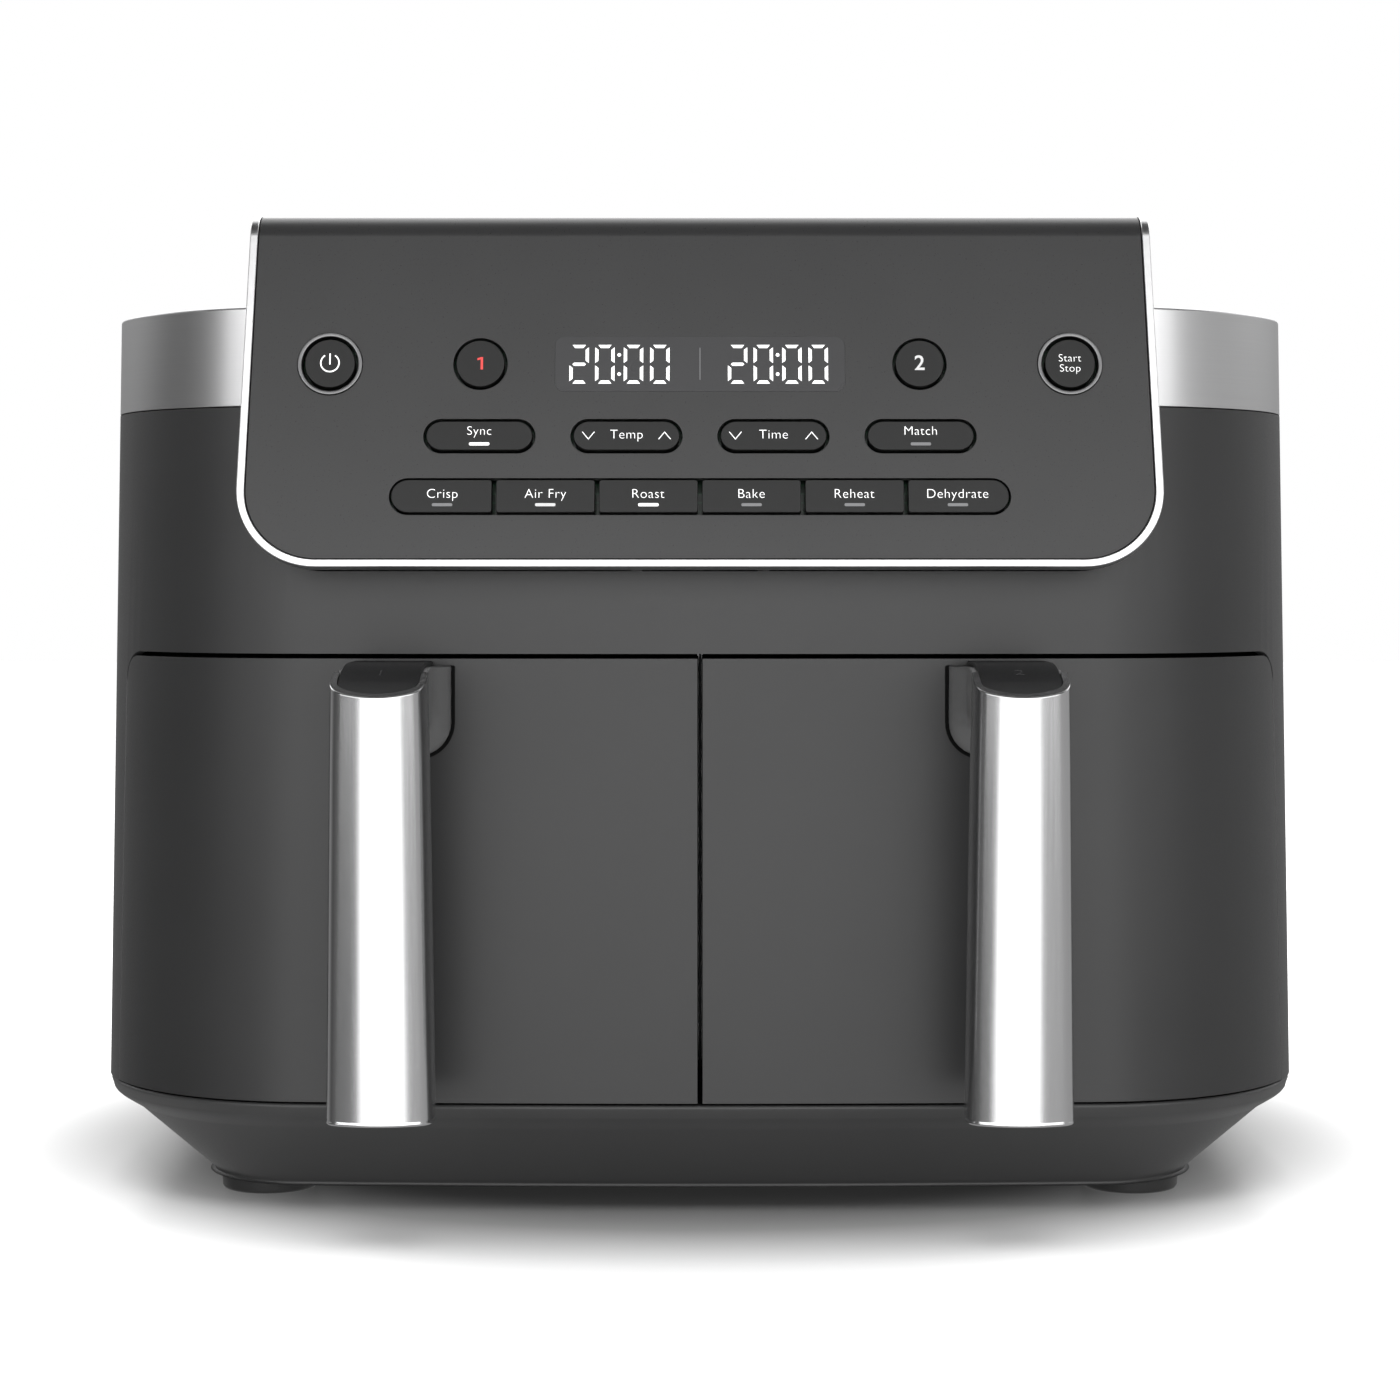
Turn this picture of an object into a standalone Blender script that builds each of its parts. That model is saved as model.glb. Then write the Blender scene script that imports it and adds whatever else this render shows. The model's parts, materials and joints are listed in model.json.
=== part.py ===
"""Two-drawer countertop air fryer, built as separate sub-parts.

Frame: +X to the right of a person facing it, +Y to the back, +Z up; the origin is on the table
under the middle of the whole object. Sizes below are in millimetres; add_mesh writes metres.
"""
import math

import bmesh
import bpy
from mathutils import Vector

MM = 0.001
GAP = 0.3                    # air left between neighbouring pieces

# Body: a box with a gently bowed front and big vertical corners, narrowing a little upwards
HALF_WIDTH = 198.5           # at REF_Z
REF_Z = 41.0
FLARE = 0.0191               # inward lean of the sides and front, mm per mm of height
FRONT_Y = -121.0             # body front on the centre line at REF_Z
BACK_Y = 176.0
BOW_RADIUS = 2220.0
CORNER_FRONT = 70.6
CORNER_BACK = 52.0
WALL = 2.5

# Levels
FOOT_H = 5.5
BASE_TOP = 34.1
LIP_LOW = 30.8
DRAWER_LOW = 34.8
DRAWER_HIGH = 174.4
FASCIA_LOW = 175.9
BAND_LOW = 253.6
BAND_HIGH = 284.8
PLATEAU = 284.0
HOOD_TOP = 313.5

# Base skirt
BASE_HALF = 160.0
BASE_FRONT = FRONT_Y + 15.0
BASE_BACK = BACK_Y - 15.0
BASE_CORNER = 32.0
FOOT_X = 141.0
FOOT_FRONT_Y = -75.0
FOOT_REAR_Y = 128.0
FOOT_R = 16.0

# Hood and control panel: a plane leaning back, rolled over at its top edge
TILT = math.radians(14.5)
PANEL_Z = 203.0
PANEL_Y = FRONT_Y - 14.9
HOOD_HALF = 143.6
HOOD_TAPER = 0.022
HOOD_CORNER = 25.5
HOOD_ROLL = 9.0
HOOD_FLAT_END = 60.0         # the flat top ends here and eases down to the back
HOOD_END = 158.0
HOOD_DROP = 27.0
PANEL_END = -80.0            # where the panel's rolled top meets the top cover
TRIM_W = 2.5
TRIM_D = 3.5
TRIM_PROUD = 0.6
PANEL_T = 3.0

# Controls, as x and height up the panel from its lower edge
ROW_1 = 65.3
ROW_2 = 41.9
ROW_3 = 22.5
POWER_X = 115.1
ZONE_X = 68.3
PILL_X = (68.3, 22.75)
POWER_HOLE_R = 8.75
BEZEL_R = 10.1
ZONE_HOLE_R = 8.45
PILL_W = 34.7
PILL_H = 11.1
KEYS_HALF = 95.9
KEYS_H = 11.75
KEY_COUNT = 6
KEY_PITCH = 31.77            # the two end keys are longer by what is left over
WINDOW_W = 90.2
WINDOW_H = 17.9
WINDOW_CORNER = 3.0
BUTTON_GAP = 0.6
BUTTON_PROUD = 0.5
BUTTON_BACK = -6.5

# Drawers
CENTRE_GAP = 0.8             # half of the gap between the two fronts
SEAM_Y = FRONT_Y + 47.0      # where a drawer front ends, round the corner
FRONT_T = 12.0               # depth of a drawer front with its rims
SKIN_T = 3.0
BACKPLATE_T = 2.5
DRAWER_CORNER = 9.0          # upper outer corner of a front
BASKET_X = 92.0
BASKET_HALF = 77.0
BASKET_FRONT = -101.0
BASKET_BACK = 104.0
BASKET_CORNER = 44.0
BASKET_LOW = 39.5
BASKET_HIGH = 166.0
BASKET_WALL = 1.5
CRISPER_Z = 57.0
CRISPER_T = 2.0

# Handles
HANDLE_X = 95.75
HANDLE_HALF_TOP = 14.5
HANDLE_HALF_LOW = 16.2
HANDLE_LOW = 37.0
HANDLE_FRONT = -176.0
HANDLE_BACK = -148.5
HANDLE_SAG = 4.5             # rise of the grip's front arc between its shoulders
HANDLE_SHOULDER = 5.0        # radius that eases the arc into the straight sides
HANDLE_TOP = 174.0
HANDLE_TOP_DROP = 9.6
HANDLE_TOP_BREAK = -141.0
COVER_T = 1.0
COVER_BACK = -159.0
ARM_LOW = 152.0
PLATE_LOW = 144.0
PLATE_IN = 77.9              # x of the arm's foot on the drawer, inner and outer side
PLATE_OUT = 109.3
CAP_T = 1.6

# Cooking cavities and what drives the air
CAVITY_X = (4.0, 184.0)
CAVITY_FRONT = -58.0
CAVITY_BACK = 118.0
CAVITY_Z = (36.4, 186.0)
CAVITY_WALL = 1.5
CAVITY_CORNER = 12.0
FLANGE_X = (0.4, 190.0)
FLANGE_Z = (35.0, 189.5)
FAN_X = 94.0
FAN_Y = 28.0
DOME_R = 74.0
DOME_HIGH = 216.0
SHAFT_R = 3.0
MOTOR_R = 27.0
MOTOR_Z = (218.0, 246.0)


# ---------------------------------------------------------------- mesh tools

def clear_scene():
    for obj in list(bpy.data.objects):
        bpy.data.objects.remove(obj, do_unlink=True)


def material(name, colour, roughness, metallic=0.0):
    mat = bpy.data.materials.new(name)
    mat.use_nodes = True
    shader = mat.node_tree.nodes["Principled BSDF"]
    shader.inputs["Base Color"].default_value = (*colour, 1.0)
    shader.inputs["Roughness"].default_value = roughness
    shader.inputs["Metallic"].default_value = metallic
    return mat


def add_mesh(name, verts, faces, mat=None):
    """One object from millimetre vertices, with its faces turned outwards."""
    mesh = bpy.data.meshes.new(name)
    mesh.from_pydata([Vector(v) * MM for v in verts], [], faces)
    work = bmesh.new()
    work.from_mesh(mesh)
    bmesh.ops.recalc_face_normals(work, faces=work.faces)
    work.to_mesh(mesh)
    work.free()
    obj = bpy.data.objects.new(name, mesh)
    bpy.context.scene.collection.objects.link(obj)
    if mat:
        mesh.materials.append(mat)
        mesh.shade_smooth()
        mesh.set_sharp_from_angle(angle=math.radians(35))
    return obj


def ring_faces(count, rings, loop):
    """Quads between neighbouring rings of count points; loop also joins the last to the first."""
    faces = []
    pairs = rings if loop else rings - 1
    for r in range(pairs):
        a = r * count
        b = ((r + 1) % rings) * count
        for i in range(count):
            j = (i + 1) % count
            faces.append((a + i, a + j, b + j, b + i))
    return faces


def loft_faces(rings, loop):
    """Faces of a closed solid through rings: capped at both ends, or looped like a tyre."""
    count = len(rings[0])
    faces = ring_faces(count, len(rings), loop)
    if not loop:
        faces.append(tuple(range(count - 1, -1, -1)))
        last = (len(rings) - 1) * count
        faces.append(tuple(range(last, last + count)))
    return faces


def loft(name, rings, mat=None, loop=False):
    """One closed solid through rings of equal length."""
    verts = [point for ring in rings for point in ring]
    return add_mesh(name, verts, loft_faces(rings, loop), mat)


def group(name, solids):
    """Several separate lofted solids in one mesh, used as one cutter."""
    verts, faces = [], []
    for rings in solids:
        start = len(verts)
        verts += [point for ring in rings for point in ring]
        faces += [tuple(start + i for i in face) for face in loft_faces(rings, False)]
    return add_mesh(name, verts, faces)


def box_rings(low, high):
    return [[(low[0], low[1], z), (high[0], low[1], z), (high[0], high[1], z), (low[0], high[1], z)]
            for z in (low[2], high[2])]


def box(name, low, high, mat=None):
    return loft(name, box_rings(low, high), mat)


def hide(obj):
    """Marks a cutter or a joined-in shape, which isn't a piece of its own."""
    obj.hide_render = True
    obj.display_type = 'WIRE'


def boolean(target, other, operation):
    step = target.modifiers.new(other.name, 'BOOLEAN')
    step.operation = operation
    step.solver = 'EXACT'
    step.object = other
    hide(other)


def cut(target, other):
    boolean(target, other, 'DIFFERENCE')


def join(target, other):
    boolean(target, other, 'UNION')


def circle(x, y, radius, count):
    return [(x + radius * math.cos(math.tau * i / count), y + radius * math.sin(math.tau * i / count))
            for i in range(count)]


def rounded_rect(x0, x1, y0, y1, radii, steps):
    """Outline of a box, counter-clockwise; radii for the corners low-left, low-right, high-right, high-left.

    Where two corners meet in a round end, their shared point is kept once.
    """
    points = []
    centres = ((x0, y0, 1, 1, 180), (x1, y0, -1, 1, 270), (x1, y1, -1, -1, 0), (x0, y1, 1, -1, 90))
    for (x, y, inward_x, inward_y, start), radius in zip(centres, radii):
        for i in range(steps + 1):
            angle = math.radians(start + 90.0 * i / steps)
            point = (x + inward_x * radius + radius * math.cos(angle),
                     y + inward_y * radius + radius * math.sin(angle))
            if not points or math.dist(point, points[-1]) > 1e-4:
                points.append(point)
    if math.dist(points[0], points[-1]) < 1e-4:
        points.pop()
    return points


def turned(name, x, y, profile, mat=None, count=28, bore=True):
    """Solid turned about a vertical axis from (radius, z) points; a bored profile is a closed loop."""
    rings = [[(px, py, z) for px, py in circle(x, y, radius, count)] for radius, z in profile]
    return loft(name, rings, mat, loop=bore)


# ---------------------------------------------------------------- body outlines

def half_width(z):
    return HALF_WIDTH - FLARE * (z - REF_Z)


def front_y(z):
    return FRONT_Y + FLARE * (z - REF_Z)


def bow(x):
    return x * x / (2.0 * BOW_RADIUS)


def plan_ring(half, front, back, corner, corner_back, z, front_steps=6, corner_steps=7, back_steps=4):
    """Closed plan outline with a bowed front: left to right along the front, then round the back."""
    points = []
    for i in range(front_steps + 1):
        x = -(half - corner) + 2.0 * (half - corner) * i / front_steps
        points.append((x, front + bow(x), z))
    right = []
    for i in range(1, corner_steps + 1):
        angle = math.radians(90.0) * i / corner_steps
        x = half - corner + corner * math.sin(angle)
        right.append((x, front + corner - corner * math.cos(angle) + bow(x), z))
    for i in range(back_steps + 1):
        angle = math.radians(90.0) * i / back_steps
        right.append((half - corner_back + corner_back * math.cos(angle),
                      back - corner_back + corner_back * math.sin(angle), z))
    points += right
    points += [(-x, y, z) for x, y, z in reversed(right)]
    return points


def body_ring(z, inset=0.0):
    return plan_ring(half_width(z) - inset, front_y(z) + inset, BACK_Y - inset,
                     CORNER_FRONT - inset, CORNER_BACK - inset, z)


def wrap_path(z, inset, start_x, end_y, flat_steps=4, corner_steps=9):
    """Open plan line on the body's right half, from x = start_x round the corner to y = end_y."""
    half = half_width(z) - inset
    front = front_y(z) + inset
    corner = CORNER_FRONT - inset
    flat = half - corner
    points = []
    for i in range(flat_steps):
        x = start_x + (flat - start_x) * i / flat_steps
        points.append((x, front + bow(x)))
    last = math.radians(60.0)
    for _ in range(12):
        x = flat + corner * math.sin(last)
        last = math.acos(max(-1.0, 1.0 - (end_y - front - bow(x)) / corner))
    for i in range(corner_steps + 1):
        angle = last * i / corner_steps
        x = flat + corner * math.sin(angle)
        points.append((x, front + corner - corner * math.cos(angle) + bow(x)))
    return points


# ---------------------------------------------------------------- hood and panel frame

def panel_point(x, s, d):
    """x across, s up the panel's face from its lower edge, d outwards from the face."""
    return (x, PANEL_Y + s * math.sin(TILT) - d * math.cos(TILT),
            PANEL_Z + s * math.cos(TILT) + d * math.sin(TILT))


ROLL_START = (HOOD_TOP - PANEL_Z - HOOD_ROLL * (1.0 - math.sin(TILT))) / math.cos(TILT)
ROLL_ANGLE = math.radians(90.0) - TILT
ROLL_END = ROLL_START + HOOD_ROLL * ROLL_ANGLE
ROLL_Y = PANEL_Y + ROLL_START * math.sin(TILT) + HOOD_ROLL * math.cos(TILT)
HOOD_LENGTH = ROLL_END + HOOD_END - ROLL_Y


def hood_point(x, run, d):
    """Like panel_point, but run goes on round the roll, back along the top and down to the rear."""
    if run <= ROLL_START:
        return panel_point(x, run, d)
    if run <= ROLL_END:
        angle = TILT + (run - ROLL_START) / HOOD_ROLL
        centre_z = HOOD_TOP - HOOD_ROLL
        return (x, ROLL_Y - (HOOD_ROLL + d) * math.cos(angle), centre_z + (HOOD_ROLL + d) * math.sin(angle))
    y = ROLL_Y + run - ROLL_END
    return (x, y, hood_height(y) + d)


def hood_height(y):
    t = min(1.0, max(0.0, (y - HOOD_FLAT_END) / (HOOD_END - HOOD_FLAT_END)))
    return HOOD_TOP - HOOD_DROP * t * t * (3.0 - 2.0 * t)


def hood_half(run):
    return HOOD_HALF - HOOD_TAPER * min(run, ROLL_END)


def run_at(y):
    return ROLL_END + y - ROLL_Y


def hood_runs(last, corner_steps=6):
    """Stations along the hood: fine round the lower corner, the roll and the rear slope."""
    quarter = math.radians(90.0)
    runs = [HOOD_CORNER * (1.0 - math.cos(quarter * i / corner_steps)) for i in range(corner_steps + 1)]
    runs += [ROLL_START + (ROLL_END - ROLL_START) * i / 5 for i in range(6)]
    slope = run_at(HOOD_FLAT_END)
    runs += [slope + (HOOD_LENGTH - slope) * i / 8 for i in range(9)]
    return [run for run in runs if run < last - 0.5] + [last]


def hood_edge(inset, last):
    """Right-hand edge of the hood as (x, run) points, from the lower middle round the corner to last."""
    corner = HOOD_CORNER - inset
    points = [(0.0, inset)]
    for run in hood_runs(last):
        if run < HOOD_CORNER:
            angle = math.acos(1.0 - run / HOOD_CORNER)
            points.append((hood_half(run) - HOOD_CORNER + corner * math.sin(angle),
                           HOOD_CORNER - corner * math.cos(angle)))
        else:
            points.append((hood_half(run) - inset, run))
    return points


def hood_strip(name, outer, inner, low, high, last, mat=None):
    """U-shaped strip along the hood's edge, between two insets and two heights off its face."""
    rings = []
    right = list(zip(hood_edge(outer, last), hood_edge(inner, last)))
    left = [((-a[0], a[1]), (-b[0], b[1])) for a, b in reversed(right[1:])]
    for (xo, ro), (xi, ri) in left + right:
        rings.append([hood_point(xo, ro, high), hood_point(xi, ri, high),
                      hood_point(xi, ri, low), hood_point(xo, ro, low)])
    return loft(name, rings, mat)


def panel_rings(outline, depths):
    """Rings of a prism in the panel's frame; depths holds (d, inset) from the back to the front."""
    cx = sum(p[0] for p in outline) / len(outline)
    cs = sum(p[1] for p in outline) / len(outline)
    half_x = max(abs(p[0] - cx) for p in outline)
    half_s = max(abs(p[1] - cs) for p in outline)
    rings = []
    for d, inset in depths:
        kx = (half_x - inset) / half_x
        ks = (half_s - inset) / half_s
        rings.append([panel_point(cx + (x - cx) * kx, cs + (s - cs) * ks, d) for x, s in outline])
    return rings


def panel_prism(name, outline, depths, mat=None):
    return loft(name, panel_rings(outline, depths), mat)


# ---------------------------------------------------------------- outlines of the controls

def pill(x, s, width, height, steps=3):
    radius = height / 2.0
    return rounded_rect(x - width / 2.0, x + width / 2.0, s - radius, s + radius, (radius,) * 4, steps)


def key_outline(index, gap):
    """One function key; the two outer keys have round outer ends."""
    x0 = -KEYS_HALF if index == 0 else KEY_PITCH * (index - KEY_COUNT / 2.0)
    x1 = KEYS_HALF if index == KEY_COUNT - 1 else KEY_PITCH * (index + 1 - KEY_COUNT / 2.0)
    x0, x1 = x0 + gap, x1 - gap
    radius = KEYS_H / 2.0 - gap
    small = 0.8
    left = radius if index == 0 else small
    right = radius if index == KEY_COUNT - 1 else small
    return rounded_rect(x0, x1, ROW_3 - radius, ROW_3 + radius, (left, right, right, left), 2)


def control_holes():
    """Cutter for all the controls: a prism right through the panel for each."""
    through = ((-PANEL_T - 2.0, 0.0), (3.0, 0.0))
    holes = []
    for side in (-1, 1):
        holes.append(circle(side * POWER_X, ROW_1, BEZEL_R + GAP, 16))
        holes.append(circle(side * ZONE_X, ROW_1, ZONE_HOLE_R, 16))
        for x in PILL_X:
            holes.append(pill(side * x, ROW_2, PILL_W, PILL_H))
    holes.append(pill(0.0, ROW_3, 2.0 * KEYS_HALF, KEYS_H))
    holes.append(rounded_rect(-WINDOW_W / 2, WINDOW_W / 2, ROW_1 - WINDOW_H / 2, ROW_1 + WINDOW_H / 2,
                              (WINDOW_CORNER,) * 4, 3))
    return group("control_holes", [panel_rings(outline, through) for outline in holes])


def press_button(name, outline, mat):
    """Cap with a narrower stem behind it, slightly proud of the panel, with a softened top edge."""
    panel_prism(name, outline, ((BUTTON_BACK, 2.2), (-PANEL_T - 0.5, 2.2), (-PANEL_T - 0.5, 0.0),
                                (BUTTON_PROUD - 0.35, 0.0), (BUTTON_PROUD, 0.45)), mat)


# ---------------------------------------------------------------- housing

def base_pan(mat):
    """Undercut skirt with a lip under the drawers, a floor with vents, and a shelf under the drawer bay."""
    def skirt(z, t, inset):
        lip_half = half_width(LIP_LOW) - 1.0
        lip_front = front_y(LIP_LOW) + 1.0
        return plan_ring(lip_half + (BASE_HALF - lip_half) * t - inset,
                         lip_front + (BASE_FRONT - lip_front) * t + inset,
                         BACK_Y - 1.0 + (BASE_BACK - BACK_Y + 1.0) * t - inset,
                         CORNER_FRONT + (BASE_CORNER - CORNER_FRONT) * t - inset,
                         CORNER_BACK + (BASE_CORNER - 8.0 - CORNER_BACK) * t - inset, z)

    levels = ((FOOT_H, 0.975), (FOOT_H + 1.0, 1.0), (27.4, 0.17), (29.2, 0.06), (LIP_LOW, 0.0))
    rings = [skirt(z, t, 0.0) for z, t in levels]
    rings.append(body_ring(BASE_TOP, 0.8))
    rings.append(body_ring(BASE_TOP, 0.8 + WALL))
    rings += [skirt(z + 1.2, t, WALL) for z, t in reversed(levels[2:])]
    rings.append(skirt(FOOT_H + 3.0, 0.97, WALL))
    pan = loft("base_pan", rings, mat)

    shelf_z = (BASE_TOP - 2.2, BASE_TOP - 0.001)
    shelf = loft("bay_floor", [bay_slab(z) for z in shelf_z])
    join(pan, shelf)
    vents = []
    for i in range(7):
        x = -60.0 + 20.0 * i
        vents.append(box_rings((x - 3.0, 20.0, 0.0), (x + 3.0, 90.0, 12.0)))
    cut(pan, group("floor_vents", vents))


def bay_slab(z):
    """Plan outline that fills the drawer bay, from the body front back to the cavities."""
    right = wrap_path(z, WALL * 0.6, 0.0, CAVITY_FRONT - 0.6, 3, 7)
    left = [(-x, y) for x, y in reversed(right[1:])]
    return [(x, y, z) for x, y in left + right]


def bay_opening(name):
    """Volume of both drawer fronts, with their round upper corners, swept across the body."""
    back = SEAM_Y + 0.5
    outline = rounded_rect(-260.0, back, 0.0, FASCIA_LOW, (1.0, 1.0, DRAWER_CORNER + 1.2, 1.0), 6)
    return loft(name, [[(x, y, z) for y, z in outline] for x in (-260.0, 260.0)])


def housing_shell(mat):
    """Side and back walls with the front fascia above the drawers; its roof over the bay is a ledge."""
    low, high = BASE_TOP + GAP, BAND_LOW - GAP
    rings = [body_ring(low), body_ring(high), body_ring(high, WALL), body_ring(low, WALL)]
    shell = loft("housing_shell", rings, mat, loop=True)
    cut(shell, bay_opening("drawer_bay"))
    ledge = loft("bay_roof", [bay_slab(z) for z in (FASCIA_LOW + 0.001, FASCIA_LOW + 2.4)])
    join(shell, ledge)
    cut(shell, hood_clearance("hood_opening_shell"))
    cut(shell, box("rear_opening", (-130.0, 150.0, 60.0), (130.0, 200.0, 235.0)))


def hood_clearance(name):
    """Volume of the hood's outline, swept straight back through the front wall."""
    edge = hood_edge(-GAP, ROLL_START)
    outline = [(-x, run) for x, run in reversed(edge[1:])] + edge
    rings = []
    for reach in (-40.0, 70.0):
        ring = [hood_point(x, run, -TRIM_D - GAP) for x, run in outline]
        rings.append([(x, y + reach, z) for x, y, z in ring])
    return loft(name, rings)


def upper_band(mat):
    low, high = BAND_LOW, BAND_HIGH
    rings = [body_ring(low), body_ring(high - 0.8), body_ring(high, 0.8), body_ring(high, WALL),
             body_ring(low, WALL)]
    band = loft("upper_band", rings, mat, loop=True)
    cut(band, hood_clearance("hood_opening_band"))


def panel_housing(mat):
    """Channel behind the panel's sides and lower edge; it carries the panel on the front wall."""
    last = (BAND_HIGH - 4.0 - PANEL_Z) / math.cos(TILT)
    back = FRONT_Y + 24.0
    rings = []
    right = list(zip(hood_edge(GAP, last), hood_edge(TRIM_W + GAP, last)))
    left = [((-a[0], a[1]), (-b[0], b[1])) for a, b in reversed(right[1:])]
    for (xo, ro), (xi, ri) in left + right:
        a = hood_point(xo, ro, -TRIM_D - GAP)
        b = hood_point(xi, ri, -TRIM_D - GAP)
        rings.append([a, b, (b[0], back, b[2]), (a[0], back, a[2])])
    loft("panel_housing", rings, mat)


def hump_profile(inset, low):
    """Side view of the hood above the plateau as (y, z), from its lower front to its lower back."""
    points = []
    start = (low - PANEL_Z) / math.cos(TILT)
    points.append((panel_point(0, start, -TRIM_D - GAP - inset)[1], low))
    for i in range(6):
        run = ROLL_START + (ROLL_END - ROLL_START) * i / 5
        points.append(hood_point(0, run, -TRIM_D - GAP - inset)[1:])
    step = PANEL_END + GAP + inset
    points.append((step, HOOD_TOP - TRIM_D - GAP - inset))
    points.append((step + 0.01, HOOD_TOP - inset))
    for i in range(9):
        y = HOOD_FLAT_END + (HOOD_END - HOOD_FLAT_END) * i / 8
        points.append((min(y, HOOD_END - inset), max(hood_height(y) - inset, low + 0.5)))
    points.append((HOOD_END - inset, low))
    return points


def hump(name, inset, low):
    profile = hump_profile(inset, low)
    rings = []
    for side in (-1, 1):
        ring = []
        for y, z in profile:
            half = HOOD_HALF - HOOD_TAPER * max(0.0, z - PANEL_Z) - GAP - inset
            ring.append((side * half, y, z))
        rings.append(ring)
    return loft(name, rings)


def top_cover(mat):
    """Lid inside the band with the raised hood over its middle, hollow underneath, vented at the back."""
    lid_low = PLATEAU - 2.6
    cover = loft("top_cover", [body_ring(lid_low, WALL + GAP), body_ring(PLATEAU - 0.6, WALL + GAP),
                               body_ring(PLATEAU, WALL + GAP + 0.6)], mat)
    cut(cover, hood_clearance_top())
    join(cover, hump("hood_outer", 0.0, lid_low + 0.2))
    cut(cover, hump("hood_inner", 2.4, lid_low - 5.0))
    cut(cover, hood_strip("trim_groove", -3.0, TRIM_W + GAP, -TRIM_D - GAP, 6.0, HOOD_LENGTH + 8.0))
    vents = []
    for x in (-170.0, 170.0):
        for i in range(8):
            y = 40.0 + 9.0 * i
            vents.append(box_rings((x - 12.0, y, 270.0), (x + 12.0, y + 4.0, 300.0)))
    cut(cover, group("top_vents", vents))


def hood_clearance_top():
    """Opens the lid in front of the hood's own front wall."""
    y = panel_point(0, (PLATEAU - PANEL_Z) / math.cos(TILT), -TRIM_D - GAP)[1]
    return box("lid_front", (-HOOD_HALF, -200.0, 260.0), (HOOD_HALF, y + 0.5, 300.0))


def rear_cover(mat):
    """Back panel with exhaust slots and a round hole for the cord outlet."""
    plate = box("rear_cover", (-130.0 + GAP, 172.4, 60.0 + GAP), (130.0 - GAP, 175.4, 235.0 - GAP), mat)
    slots = []
    for x in (-68.0, 68.0):
        for i in range(8):
            z = 130.0 + 11.0 * i
            slots.append(box_rings((x - 44.0, 165.0, z), (x + 44.0, 185.0, z + 5.0)))
    cut(plate, group("exhaust_slots", slots))
    cut(plate, turned_y("cord_hole", -100.0, 84.0, ((8.0 + GAP, 160.0), (8.0 + GAP, 190.0))))


def turned_y(name, x, z, profile, mat=None, count=16, bore=False):
    """Solid turned about an axis along Y from (radius, y) points."""
    rings = [[(px, y, pz) for px, pz in circle(x, z, radius, count)] for radius, y in profile]
    return loft(name, rings, mat, loop=bore)


def cord_outlet(mat):
    """Bushing that the mains lead passes through."""
    profile = ((4.0, 164.0), (11.0, 164.0), (11.0, 172.0), (8.0, 172.0), (8.0, 175.9), (4.0, 175.9))
    turned_y("cord_outlet", -100.0, 84.0, profile, mat, bore=True)


def feet(mat):
    for label, y in (("front", FOOT_FRONT_Y), ("rear", FOOT_REAR_Y)):
        for word, side in (("left", -1), ("right", 1)):
            turned("foot_%s_%s" % (label, word), side * FOOT_X, y,
                   ((FOOT_R - 1.6, 0.0), (FOOT_R - 0.5, 0.6), (FOOT_R, FOOT_H - GAP)), mat, 16, bore=False)


# ---------------------------------------------------------------- control panel

def control_panel(mat):
    """Leaning face with rounded lower corners, rolled over the top as one moulding."""
    inset = TRIM_W + GAP
    last = run_at(PANEL_END)
    rings = []
    for x, run in hood_edge(inset, last)[1:]:
        corners = ((-1, 0.0), (1, 0.0), (1, -PANEL_T), (-1, -PANEL_T))
        rings.append([hood_point(side * x, run, d) for side, d in corners])
    panel = loft("control_panel", rings, mat)
    cut(panel, control_holes())


def controls(black, button_mat, metal, glass, board):
    for word, side in (("power", -1), ("start", 1)):
        x = side * POWER_X
        rings = []
        for radius, d in ((POWER_HOLE_R, -PANEL_T), (BEZEL_R, -PANEL_T), (BEZEL_R, 0.3), (BEZEL_R - 0.4, 0.7),
                          (POWER_HOLE_R, 0.7)):
            rings.append([panel_point(px, ps, d) for px, ps in circle(x, ROW_1, radius, 16)])
        loft("%s_bezel" % word, rings, metal, loop=True)
    press_button("power_button", circle(-POWER_X, ROW_1, POWER_HOLE_R - BUTTON_GAP, 16), button_mat)
    press_button("start_stop_button", circle(POWER_X, ROW_1, POWER_HOLE_R - BUTTON_GAP, 16), button_mat)
    press_button("zone_1_button", circle(-ZONE_X, ROW_1, ZONE_HOLE_R - BUTTON_GAP, 16), button_mat)
    press_button("zone_2_button", circle(ZONE_X, ROW_1, ZONE_HOLE_R - BUTTON_GAP, 16), button_mat)
    names = ("sync_button", "temperature_rocker", "time_rocker", "match_button")
    for name, x in zip(names, (-PILL_X[0], -PILL_X[1], PILL_X[1], PILL_X[0])):
        press_button(name, pill(x, ROW_2, PILL_W - 2 * BUTTON_GAP, PILL_H - 2 * BUTTON_GAP), button_mat)
    for index in range(KEY_COUNT):
        press_button("function_key_%d" % (index + 1), key_outline(index, BUTTON_GAP), button_mat)
    panel_prism("display_window",
                rounded_rect(-WINDOW_W / 2 + GAP, WINDOW_W / 2 - GAP, ROW_1 - WINDOW_H / 2 + GAP,
                             ROW_1 + WINDOW_H / 2 - GAP, (WINDOW_CORNER - GAP,) * 4, 3),
                ((-PANEL_T, 0.0), (-0.1, 0.0)), glass)
    panel_prism("control_board", rounded_rect(-126.0, 126.0, 12.0, 84.0, (3.0,) * 4, 2),
                ((-10.6, 0.0), (-9.0, 0.0)), board)


# ---------------------------------------------------------------- drawers

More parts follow.
